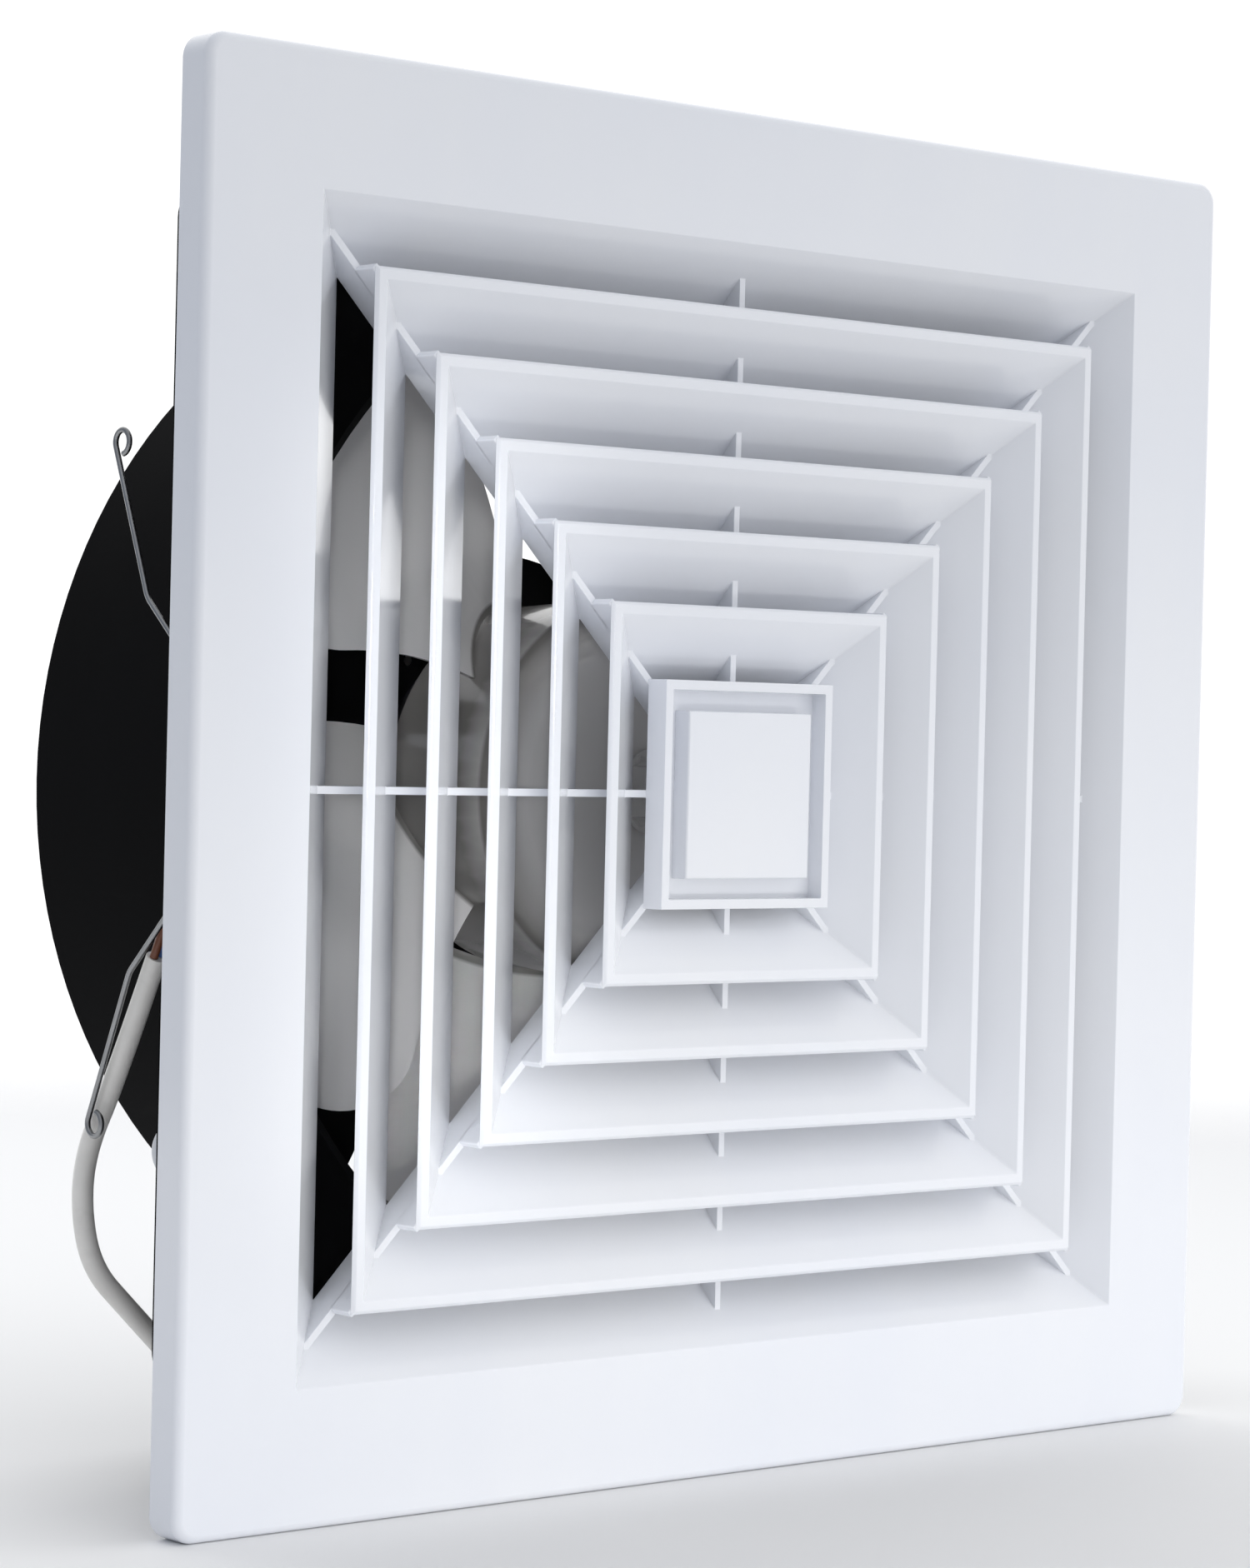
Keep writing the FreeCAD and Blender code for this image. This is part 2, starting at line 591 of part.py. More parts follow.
def make_windings():
    end = STATOR_Y + STATOR_DEPTH
    inner_r = ROTOR_R + AIR_GAP + POLE_SHOE + COIL_GAP
    outer_r = COIL_OUTER_R
    gap = COIL_GAP
    coils = []
    for k in range(POLE_COUNT):
        wide = POLE_WIDTH + 2 * gap
        coil = pole_block(wide + 2 * COIL_WALL, inner_r, outer_r, STATOR_Y - gap - COIL_WALL,
                          end + gap + COIL_WALL)
        long_edges = [e for e in coil.Edges if abs(e.tangentAt(e.FirstParameter).x) > 0.9]
        coil = coil.makeFillet(COIL_WALL * 0.8, long_edges)
        coil = coil.cut(pole_block(wide, inner_r - 1, outer_r + 1, STATOR_Y - gap, end + gap))
        coils.append(turned(coil, 45 + 90 * k))
    return Part.makeCompound(coils)


def make_shading_rings():
    end = STATOR_Y + STATOR_DEPTH
    face_r = ROTOR_R + AIR_GAP
    bars = []
    for k in range(POLE_COUNT):
        bar = box(face_r + 0.35, face_r + 1.55, STATOR_Y - 1.5, end + 1.5,
                  POLE_WIDTH / 2 + 0.1, POLE_WIDTH / 2 + SHADE_WIDTH - 0.1)
        bars.append(turned(bar, 45 + 90 * k))
    return Part.makeCompound(bars)


def make_shaft():
    body = rod_y(SHAFT_R, SHAFT_STEP_Y, SHAFT_REAR_Y)
    thread = rod_y(THREAD_R, THREAD_FRONT_Y, SHAFT_STEP_Y + 1)
    shaft = body.fuse(thread)
    tip = [e for e in shaft.Edges if all(abs(v.Y - THREAD_FRONT_Y) < 1e-6 for v in e.Vertexes)]
    shaft = shaft.makeChamfer(0.8, tip)
    hole = rod((-SHAFT_R - 1, PIN_Y, 0), (1, 0, 0), PIN_R + 0.02, 2 * SHAFT_R + 2)
    return shaft.cut(hole)


def make_rotor_core():
    core = rod_y(ROTOR_R, STATOR_Y - 1, STATOR_Y + STATOR_DEPTH + 1)
    core = core.cut(rod_y(SHAFT_R + 0.01, STATOR_Y - 3, STATOR_Y + STATOR_DEPTH + 3))
    return core


def blade_point(radius, part):
    """A point of the blade's front skin: part 0 at the nose, 1 at the tail."""
    along = (radius - BLADE_ROOT_R) / (BLADE_TIP_R - BLADE_ROOT_R)
    middle = BLADE_ROOT_ANGLE + (BLADE_TIP_ANGLE - BLADE_ROOT_ANGLE) * along
    spread = BLADE_ROOT_SPREAD + (BLADE_TIP_SPREAD - BLADE_ROOT_SPREAD) * along
    angle = middle + spread * (0.5 - part)
    y = BLADE_FRONT_Y + BLADE_RISE * part + BLADE_CAMBER * 4 * part * (1 - part)
    return polar(radius, angle, y)


def make_blade():
    rows = BLADE_ROWS
    skin_span = BLADE_TIP_R + BLADE_OVER - BLADE_ROOT_R
    radii = [BLADE_ROOT_R + skin_span * k / rows for k in range(rows + 1)]
    parts = [-BLADE_OVER_PART + (1 + 2 * BLADE_OVER_PART) * k / rows for k in range(rows + 1)]
    skin = Part.BSplineSurface()
    skin.interpolate([[blade_point(r, p) for p in parts] for r in radii])
    slab = skin.toShape().extrude(V(0, BLADE_THICK, 0))
    root = BLADE_ROOT_R + SLIDE_FIT
    span = [root + (BLADE_TIP_R - root) * k / rows for k in range(rows + 1)]
    flat = [[V(p.x, 0, p.z) for p in (blade_point(r, part) for r in span)] for part in (0.0, 1.0)]
    edges = []
    for row in flat:
        curve = Part.BSplineCurve()
        curve.interpolate(row)
        edges.append(curve.toShape())
    for radius in (span[0], span[-1]):
        middle = blade_point(radius, 0.5)
        ends = [blade_point(radius, part) for part in (0.0, 1.0)]
        arc = Part.Arc(V(ends[0].x, 0, ends[0].z), V(middle.x, 0, middle.z), V(ends[1].x, 0, ends[1].z))
        edges.append(arc.toShape())
    outline = Part.Wire(Part.__sortEdges__(edges))
    prism = Part.Face(outline).extrude(V(0, DRUM_REAR_Y, 0))
    nose = blade_point(span[-1], 0.0)
    tail = blade_point(span[-1], 1.0)
    for corner, size in ((nose, BLADE_NOSE_ROUND), (tail, BLADE_TAIL_ROUND)):
        upright = [e for e in prism.Edges if len(e.Vertexes) == 2
                   and all(abs(v.X - corner.x) < 1e-3 and abs(v.Z - corner.z) < 1e-3 for v in e.Vertexes)]
        prism = prism.makeFillet(size, upright)
    return slab.common(prism)


def make_impeller():
    inner = HUB_R - HUB_WALL
    nose = [(r, HUB_FRONT_Y + set_back) for r, set_back in HUB_CURVE]
    hollow = [(r, HUB_FRONT_Y + set_back) for r, set_back in HUB_INSIDE]
    flat_inside = HUB_FRONT_Y + HUB_WALL
    shell = lathe([(0, HUB_FRONT_Y), (HUB_FLAT_R, HUB_FRONT_Y)] + nose + [
        (HUB_R, HUB_SHOULDER_Y), (HUB_REAR_R, HUB_REAR_Y), (HUB_REAR_R - HUB_WALL, HUB_REAR_Y),
        (inner, HUB_SHOULDER_Y + HUB_WALL)] + hollow + [
        (HUB_FLAT_R, flat_inside), (HUB_BOSS_R, flat_inside), (HUB_BOSS_R, HUB_BOSS_Y), (0, HUB_BOSS_Y)])
    fins = []
    fin_end = HUB_INSIDE[-1][0]
    for k in range(HUB_FIN_COUNT):
        fin = box(HUB_BOSS_R - 1, fin_end, flat_inside, PIN_Y - PIN_R, -HUB_FIN_THICK / 2, HUB_FIN_THICK / 2)
        fins.append(turned(fin, (k + 0.5) * 360.0 / HUB_FIN_COUNT))
    solid = shell.fuse(fins)
    blade = make_blade()
    print("blade volume", round(blade.Volume), "valid", blade.isValid())
    solid = solid.fuse([turned(blade, k * 360.0 / BLADE_COUNT) for k in range(BLADE_COUNT)])
    solid = solid.cut(rod_y(SHAFT_R + SLIDE_FIT, SHAFT_STEP_Y, HUB_BOSS_Y + 1))
    solid = solid.cut(rod_y(THREAD_R + SLIDE_FIT, HUB_FRONT_Y - 1, SHAFT_STEP_Y + 1))
    half = PIN_LENGTH / 2 + 0.3
    wide = PIN_R + SLIDE_FIT
    solid = solid.cut(box(-half, half, PIN_Y - wide, HUB_BOSS_Y + 1, -wide, wide))
    return solid.removeSplitter()


def make_nut():
    rear = HUB_FRONT_Y - WASHER_THICK
    front = rear - NUT_LENGTH
    nut = lathe([(0, front), (NUT_R - 3.2, front), (NUT_R - 1.2, front + 1.2), (NUT_R - 0.6, front + 3),
                 (NUT_R, rear), (0, rear)])
    for k in range(NUT_FLUTES):
        at = polar(NUT_R + 1.2, k * 360.0 / NUT_FLUTES)
        nut = nut.cut(rod_y(2.6, front - 1, rear - 1.8, at.x, at.z))
    return nut.cut(rod_y(THREAD_R + SLIDE_FIT, THREAD_FRONT_Y - 0.5, rear + 1))


def spring_arm(side, upper):
    """Half of a torsion spring: its curl round the post, a bent arm and a closed eye.

    The arm is drawn flat in its plane and the curl runs inwards to the middle of the post.
    """
    plane = UPPER_PLANE if upper else LOWER_PLANE
    rest = math.radians(UPPER_REST if upper else LOWER_REST)
    arm_length = UPPER_ARM_LENGTH if upper else LOWER_ARM_LENGTH
    arm_bend = math.radians(UPPER_ARM_BEND if upper else LOWER_ARM_BEND)
    up = 1 if upper else -1
    inward = 1 if upper else -1

    def place(y, z, depth):
        return V(side * depth, COIL_Y + y, up * z)

    def on_coil(angle, depth):
        return place(COIL_R * math.cos(angle), COIL_R * math.sin(angle), depth)

    leave = rest + math.pi / 2
    way = (math.cos(rest), math.sin(rest))
    foot = (COIL_R * math.cos(leave), COIL_R * math.sin(leave))
    bend = (foot[0] + way[0] * arm_length, foot[1] + way[1] * arm_length)
    tilt = rest + arm_bend
    way_tip = (math.cos(tilt), math.sin(tilt))
    trim = BEND_R * math.tan(arm_bend / 2)
    before = (bend[0] - way[0] * trim, bend[1] - way[1] * trim)
    after = (bend[0] + way_tip[0] * trim, bend[1] + way_tip[1] * trim)
    centre = (before[0] - way[1] * BEND_R, before[1] + way[0] * BEND_R)
    mid_turn = rest + arm_bend / 2
    middle = (centre[0] + BEND_R * math.sin(mid_turn), centre[1] - BEND_R * math.cos(mid_turn))
    tip = (bend[0] + way_tip[0] * TIP_LENGTH, bend[1] + way_tip[1] * TIP_LENGTH)
    left = (-way_tip[1], way_tip[0])
    eye_c = (tip[0] + left[0] * EYE_R, tip[1] + left[1] * EYE_R)
    base = math.atan2(-left[1], -left[0])

    def on_eye(turn):
        angle = base + math.radians(turn)
        return place(eye_c[0] + EYE_R * math.cos(angle), eye_c[1] + EYE_R * math.sin(angle), plane)

    edges = [Part.Arc(on_eye(EYE_TURN), on_eye(EYE_TURN / 2), on_eye(0)).toShape()]
    edges.append(Part.LineSegment(place(*tip, plane), place(*after, plane)).toShape())
    edges.append(Part.Arc(place(*after, plane), place(*middle, plane), place(*before, plane)).toShape())
    edges.append(Part.LineSegment(place(*before, plane), place(*foot, plane)).toShape())
    quarter = math.pi / 2
    depth = plane
    angle = leave
    flat_end = on_coil(angle + quarter, depth)
    edges.append(Part.Arc(on_coil(angle, depth), on_coil(angle + quarter / 2, depth), flat_end).toShape())
    angle += quarter
    step = COIL_PITCH / (CURL_QUARTERS - 1)
    for k in range(CURL_QUARTERS - 1):
        rise = inward * step
        start = on_coil(angle, depth)
        half_way = on_coil(angle + quarter / 2, depth + rise / 2)
        finish = on_coil(angle + quarter, depth + rise)
        edges.append(Part.Arc(start, half_way, finish).toShape())
        angle += quarter
        depth += rise
    path = Part.Wire(edges)
    first = path.OrderedEdges[0]
    begin = first.valueAt(first.FirstParameter)
    heading = first.tangentAt(first.FirstParameter)
    pipe = Part.BRepOffsetAPI.MakePipeShell(path)
    pipe.add(Part.Wire(Part.makeCircle(WIRE_R, begin, heading)))
    pipe.build()
    pipe.makeSolid()
    made = pipe.shape()
    ideal = math.pi * WIRE_R ** 2 * path.Length
    print("spring arm", side, up, "gap to itself", round(COIL_PITCH - 2 * WIRE_R, 2),
          "volume ratio", round(made.Volume / ideal, 4))
    return made


def make_spring_screws():
    screws = []
    for side in (-1, 1):
        wall = side * BOX_HALF
        reach = SHOULDER_END - BOX_HALF
        shoulder = rod((wall, COIL_Y, 0), (side, 0, 0), SHOULDER_R, reach)
        head = rod((side * SHOULDER_END, COIL_Y, 0), (side, 0, 0), SPRING_HEAD_R, SPRING_HEAD)
        thread = rod((wall, COIL_Y, 0), (-side, 0, 0), SPRING_THREAD_R, SPRING_THREAD)
        outer = side * (SHOULDER_END + SPRING_HEAD)
        low, high = sorted((outer - side * SPRING_HEAD / 2, outer + side))
        slot = box(low, high, COIL_Y - SPRING_SLOT_WIDTH / 2, COIL_Y + SPRING_SLOT_WIDTH / 2,
                   -SPRING_HEAD_R, SPRING_HEAD_R)
        screws.append(shoulder.fuse([head, thread]).cut(slot))
    return Part.makeCompound(screws)


def gland_frame():
    out = polar(1.0, GLAND_ANGLE)
    aside = V(-out.z, 0, out.x)
    return out, aside


def make_gland():
    """An elbow gland: neck through the drum, domed body and a sleeve to one side."""
    out, aside = gland_frame()
    seat = DRUM_R + GLAND_SEAT
    inner = DRUM_INNER_R - GLAND_NECK_END
    slant = GLAND_DOME_R * math.sqrt(0.5)
    corners = [V(0, inner, 0), V(GLAND_NECK_R, inner, 0), V(GLAND_NECK_R, seat, 0),
               V(GLAND_DOME_R, seat, 0), V(GLAND_DOME_R, GLAND_REACH, 0)]
    edges = [Part.LineSegment(p, q).toShape() for p, q in zip(corners, corners[1:])]
    top = V(0, GLAND_REACH + GLAND_DOME_R, 0)
    edges.append(Part.Arc(corners[-1], V(slant, GLAND_REACH + slant, 0), top).toShape())
    edges.append(Part.LineSegment(top, corners[0]).toShape())
    body = Part.Face(Part.Wire(edges)).revolve(V(0, 0, 0), Y_AXIS, 360)
    centre = V(0, GLAND_REACH, 0)
    body = body.fuse(Part.makeCylinder(GLAND_SLEEVE_R, GLAND_SLEEVE, centre, V(1, 0, 0)))
    bore_start = centre + V(GLAND_SLEEVE - GLAND_BORE, 0, 0)
    bore = Part.makeCylinder(CORD_R + SLIDE_FIT, GLAND_BORE + 1, bore_start, V(1, 0, 0))
    entry = Part.makeCylinder(LEAD_R + SLIDE_FIT, 2 * GLAND_NECK_R, V(0, LEAD_ENTRY_R, 2), V(0, 0, 1))
    body = body.cut([bore, entry]).removeSplitter()
    body.Placement = FreeCAD.Placement(V(0, GLAND_Y, 0), FreeCAD.Rotation(aside, out, Y_AXIS, "XYZ"))
    return body


def make_gland_nut():
    out, aside = gland_frame()
    start = polar(DRUM_INNER_R - 2.6, GLAND_ANGLE, GLAND_Y)
    side = []
    for k in range(6):
        turn = math.radians(30 + 60 * k)
        side.append(start + aside * (GLAND_NUT_R * math.cos(turn)) + Y_AXIS * (GLAND_NUT_R * math.sin(turn)))
    body = Part.Face(Part.makePolygon(side + side[:1])).extrude(out * 1.9)
    return body.cut(Part.makeCylinder(GLAND_NECK_R + SLIDE_FIT, 12, start - out * 4, out))


def cord_points():
    out, aside = gland_frame()
    outlet = polar(GLAND_REACH, GLAND_ANGLE, GLAND_Y) + aside * (GLAND_SLEEVE - CORD_INSERT)
    first = outlet + aside * CORD_FIRST_RUN
    return [tuple(outlet), tuple(first)] + CORD_ROUTE


def core_points(side, route):
    """The points of a conductor, which comes out of the cord's end beside its middle."""
    end = V(*CORD_ROUTE[-1])
    way = (end - V(*CORD_ROUTE[-2])).normalize()
    across = V(1, 0, 0)
    start = end + way * CORE_GAP + across * side[0] + way.cross(across) * side[1]
    return [tuple(start)] + route


def lead_points():
    y = DISC_Y + ARM_DEPTH - LEAD_SET
    start = polar(MOTOR_R - 2.0, LEAD_ARM, y)
    points = [start, polar(LEAD_REST_R, LEAD_ARM, y - 0.5), polar(NOTCH_TO_R - LEAD_TURN_BACK, LEAD_ARM, y),
              polar(LEAD_ENTRY_R - LEAD_PASS, LEAD_ARM - 10, y + 0.2),
              polar(LEAD_ENTRY_R, GLAND_ANGLE, y - 1.0),
              polar(LEAD_ENTRY_R, GLAND_ANGLE, GLAND_Y + 3.0)]
    return [(p.x, p.y, p.z) for p in points]


def make_strands():
    ends = []
    for route in (core_points(BROWN_SIDE, BROWN_ROUTE), core_points(BLUE_SIDE, BLUE_ROUTE)):
        last = V(*route[-1])
        way = (last - V(*route[-2])).normalize()
        side = way.cross(V(1, 0, 0)).normalize()
        for k in range(STRAND_COUNT):
            placed = FreeCAD.Rotation(way, 360.0 / STRAND_COUNT * k).multVec(side)
            lean = (way + placed * STRAND_LEAN).normalize()
            start = last + way * CORE_GAP + placed * STRAND_SPACE
            ends.append(Part.makeCylinder(STRAND_R, STRAND_LENGTH, start, lean))
    return Part.makeCompound(ends)


def screw_ring(radius, turn, y, length):
    """A screw at each arm of the bracket, or turned on from it, with its seat at y."""
    seats = [polar(radius, ARM_ANGLE + turn + 90 * k, y) for k in range(ARM_COUNT)]
    return Part.makeCompound([screw(tuple(seat), (0, -1, 0), length) for seat in seats])


def build():
    NODES["grille"] = make_grille()
    NODES["centre_cap"] = make_centre_cap()
    NODES["housing"] = make_housing()
    plate_rear = PLATE_Y + PLATE_THICK
    NODES["housing_screws"] = Part.makeCompound([
        screw((sx * BOSS_AT, plate_rear, sz * BOSS_AT), (0, -1, 0), HOUSING_SCREW)
        for sx in (-1, 1) for sz in (-1, 1)])
    NODES["motor_bracket"] = make_bracket()
    NODES["bracket_screws"] = screw_ring(FOOT_SCREW_R, 0, DRUM_REAR_Y, BRACKET_SCREW)
    NODES["motor_front_shell"] = make_front_shell()
    NODES["motor_rear_shell"] = make_rear_shell()
    NODES["motor_screws"] = screw_ring(EAR_AT, EAR_TURN, MOTOR_SPLIT_Y + EAR_LENGTH, MOTOR_SCREW)
    flange_rear = DISC_Y + DISC_THICK + FLANGE_THICK
    NODES["motor_mount_screws"] = screw_ring(FLANGE_SCREW_R, FLANGE_TURN, flange_rear, FLANGE_SCREW)
    NODES["stator_core"] = make_stator()
    NODES["stator_windings"] = make_windings()
    NODES["shading_bars"] = make_shading_rings()
    NODES["front_bearing"] = make_bearing(FRONT_BEARING_Y)
    NODES["rear_bearing"] = make_bearing(REAR_BEARING_Y)
    NODES["shaft"] = make_shaft()
    NODES["rotor_core"] = make_rotor_core()
    NODES["impeller"] = make_impeller()
    NODES["drive_pin"] = rod((-PIN_LENGTH / 2, PIN_Y, 0), (1, 0, 0), PIN_R, PIN_LENGTH)
    NODES["impeller_washer"] = lathe([
        (THREAD_R + SLIDE_FIT, HUB_FRONT_Y - WASHER_THICK), (WASHER_R, HUB_FRONT_Y - WASHER_THICK),
        (WASHER_R, HUB_FRONT_Y), (THREAD_R + SLIDE_FIT, HUB_FRONT_Y)])
    NODES["impeller_nut"] = make_nut()
    NODES["spring_screws"] = make_spring_screws()
    NODES["left_spring_upper_arm"] = spring_arm(-1, True)
    NODES["left_spring_lower_arm"] = spring_arm(-1, False)
    NODES["right_spring_upper_arm"] = spring_arm(1, True)
    NODES["right_spring_lower_arm"] = spring_arm(1, False)
    NODES["cord_gland"] = make_gland()
    NODES["gland_nut"] = make_gland_nut()
    NODES["motor_lead"] = tube(lead_points(), LEAD_R, "motor lead")
    NODES["cord_sheath"] = tube(cord_points(), CORD_R, "cord")
    NODES["brown_conductor"] = tube(core_points(BROWN_SIDE, BROWN_ROUTE), CORE_R, "brown")
    NODES["blue_conductor"] = tube(core_points(BLUE_SIDE, BLUE_ROUTE), CORE_R, "blue")
    NODES["copper_strands"] = make_strands()


def export():
    os.makedirs("parts", exist_ok=True)
    for name, shape in NODES.items():
        solids = shape.Solids
        print(name, "solids", len(solids), "valid", shape.isValid(), "volume", round(shape.Volume, 1))
        if not solids:
            raise RuntimeError("no solid in " + name)
        shape.exportStep("parts/" + name + ".step")


build()
export()
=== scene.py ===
"""Finish the pieces of a square ceiling exhaust fan and light it in a pale studio.

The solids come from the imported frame. This file rounds the edges of the mouldings, lays the wires
and the cord as smooth curves, and gives every piece a procedural finish. Metres, +Z up.
"""

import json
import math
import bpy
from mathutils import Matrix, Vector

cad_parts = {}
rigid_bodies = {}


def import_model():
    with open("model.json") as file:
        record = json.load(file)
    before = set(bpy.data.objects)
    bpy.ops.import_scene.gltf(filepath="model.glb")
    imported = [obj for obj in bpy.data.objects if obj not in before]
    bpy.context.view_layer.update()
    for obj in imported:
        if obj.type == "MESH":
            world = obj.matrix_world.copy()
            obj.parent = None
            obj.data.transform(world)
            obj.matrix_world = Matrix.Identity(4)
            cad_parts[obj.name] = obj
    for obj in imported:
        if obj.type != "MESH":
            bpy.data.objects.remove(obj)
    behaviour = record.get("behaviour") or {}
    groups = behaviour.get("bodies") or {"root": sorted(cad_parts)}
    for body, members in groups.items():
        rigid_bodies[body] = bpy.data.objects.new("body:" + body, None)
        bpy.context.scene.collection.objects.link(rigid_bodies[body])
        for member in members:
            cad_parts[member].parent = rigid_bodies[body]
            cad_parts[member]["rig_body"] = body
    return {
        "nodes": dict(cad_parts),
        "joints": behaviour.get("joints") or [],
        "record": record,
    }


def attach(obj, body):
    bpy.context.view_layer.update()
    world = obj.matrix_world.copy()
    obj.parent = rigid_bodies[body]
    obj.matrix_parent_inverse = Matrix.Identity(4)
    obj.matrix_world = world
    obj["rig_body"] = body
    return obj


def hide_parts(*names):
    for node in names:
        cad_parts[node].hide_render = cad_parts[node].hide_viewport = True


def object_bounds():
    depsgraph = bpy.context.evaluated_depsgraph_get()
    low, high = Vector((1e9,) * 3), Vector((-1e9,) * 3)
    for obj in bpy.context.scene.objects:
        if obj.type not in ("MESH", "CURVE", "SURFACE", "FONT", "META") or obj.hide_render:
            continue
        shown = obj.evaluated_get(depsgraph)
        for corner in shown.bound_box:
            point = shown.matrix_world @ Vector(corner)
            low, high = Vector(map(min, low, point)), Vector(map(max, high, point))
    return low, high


bl_info = {
    "name": "Ceiling Exhaust Fan",
    "version": (1, 0, 0),
    "blender": (4, 5, 0),
    "location": "View3D > Sidebar > Fan",
    "description": "Finishes a square ceiling exhaust fan piece by piece and sets up a studio for it",
    "category": "Object",
}

import bpy
from bpy.props import FloatProperty, FloatVectorProperty, IntProperty, PointerProperty
from mathutils import Matrix, Vector

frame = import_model()
CAD_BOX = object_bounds()
NODES = frame["nodes"]
SLOT_OF = {part["node"]: part["material_slot"] for part in frame["record"]["subparts"]}
MM = 0.001

# the photograph's camera
PHOTO_WIDTH = 1500
PHOTO_HEIGHT = 1882
FOCAL_PIXELS = 5059.8
SENSOR = 36.0
CAMERA_AT = Vector((-0.7590, -0.8289, 0.0157))
CAMERA_AZIMUTH = -41.15
CAMERA_ELEVATION = 0.69
CAMERA_ROLL = 1.39

# light of the studio: its dim and bright front, its white rear, and spans of the cosine to each aim
SKY_AIM = (0.5, -0.65, 0.55)
SKY_DIM = (0.245, 0.275, 0.335, 1.0)
SKY_BRIGHT = (0.875, 0.88, 0.89, 1.0)
SKY_REAR = (1.15, 1.15, 1.15, 1.0)
REAR_AIM = (0.66, 0.75, 0.0)
BRIGHT_SPAN = (-0.6, 1.0)
REAR_SPAN = (0.2, 0.7)

# floor of the studio, in metres: a darker patch ahead of the fan, and a rim where the floor fades out
FLOOR_SIZE = 3.2
PATCH_AHEAD = 0.75
PATCH_SPAN = (0.25, 0.85)
PATCH_SHADE = 0.6
RIM_SPAN = (1.0, 1.5)

# routes of the cord and its conductors, in millimetres
CORD_ROUTE = [
    (-114.81, 74.0, -101.34), (-97.82, 74.0, -122.32),
    (-97.0, 71.4, -140.6), (-109.1, 65.9, -153.5), (-126.7, 60.1, -152.8), (-146.2, 59.7, -134.1),
    (-156.0, 62.5, -123.0), (-157.2, 66.0, -106.9), (-154.3, 67.7, -92.8),
    (-154.1, 56.7, -75.9), (-154.1, 39.2, -43.0)]
BROWN_ROUTE = [(-155.25, 38.89, -43.05), (-155.3, 33.2, -32.2), (-154.7, 28.4, -21.0), (-153.9, 26.0, -9.0)]
BLUE_ROUTE = [(-152.9, 39.68, -42.63), (-152.9, 35.2, -33.0), (-152.6, 31.6, -22.5), (-152.6, 30.3, -11.0)]
LEAD_ROUTE = [
    (-19.25, 102.2, -33.34), (-39.0, 101.7, -67.55), (-54.5, 102.2, -94.4), (-85.56, 102.4, -101.96),
    (-107.32, 101.2, -86.91), (-107.32, 77.0, -86.91)]

# wire of the hanging springs, in millimetres and degrees: its curl round the post, its bend and its eye
CURL_R = 4.5
CURL_PITCH = 1.95
CURL_TURN = 450.0
FLAT_TURN = 90.0
BEND_R = 7.0
TIP_RUN = 41.5
EYE_R = 3.05
EYE_TURN = 282.0
ARMS = {
    "upper": {"rest": 41.25, "run": 65.85, "bend": 26.7},
    "lower": {"rest": 43.75, "run": 63.2, "bend": 22.4}}
ARC_STEP = 7.5

# webs at the corners of the grille's rings, in millimetres: distance in from the corner, and depth
RING_HALF = 128.6
RING_PITCH = 19.72
RING_COUNT = 5
WEB_THICK = 2.0
WEB_OUTLINE = [(0.1, -10.0), (0.1, -2.0), (11.6, -2.0), (2.1, -10.0)]

# the impeller's hub: the radius of the painted shade on the impeller
HUB_R = 52.7 * MM

# copper at the conductors' ends: length in millimetres, turns in radians
STRAND_LENGTH = 7.5
STRAND_STEPS = 10
STRAND_TWIST = 2.4
STRAND_APART = 2.4
STRAND_FILL = 0.78
STRAND_FLARE = 0.35

# rounding: the smallest angle of a sharp edge, in degrees, and the steps of a round
SHARP_ANGLE = 30.0
ROUND_STEPS = 2


class FanSizes(bpy.types.PropertyGroup):
    """Sizes that a user would change."""

    panel_round: FloatProperty(
        name="Grille edge round", description="Rounding of the grille's sharp edges",
        default=0.35 * MM, unit="LENGTH")
    housing_round: FloatProperty(
        name="Housing edge round", description="Rounding of the black moulding's edges",
        default=0.5 * MM, unit="LENGTH")
    blade_round: FloatProperty(
        name="Blade edge round", description="Rounding of the blades' and hub's edges",
        default=0.5 * MM, unit="LENGTH")
    metal_round: FloatProperty(
        name="Metal edge round", description="Rounding of screws and motor shells",
        default=0.25 * MM, unit="LENGTH")
    wire_radius: FloatProperty(
        name="Spring wire radius", description="Half the thickness of the spring wire",
        default=0.75 * MM, unit="LENGTH")
    cord_radius: FloatProperty(
        name="Cord radius", description="Half the thickness of the cord's sheath",
        default=2.75 * MM, unit="LENGTH")
    core_radius: FloatProperty(
        name="Conductor radius", description="Half the thickness of an insulated conductor",
        default=1.1 * MM, unit="LENGTH")
    lead_radius: FloatProperty(
        name="Motor lead radius", description="Half the thickness of the motor's lead",
        default=1.8 * MM, unit="LENGTH")
    strand_radius: FloatProperty(
        name="Strand radius", description="Half the thickness of one copper strand",
        default=0.17 * MM, unit="LENGTH")
    strand_count: IntProperty(
        name="Strands", description="Copper strands at the end of a conductor", default=12, min=3)


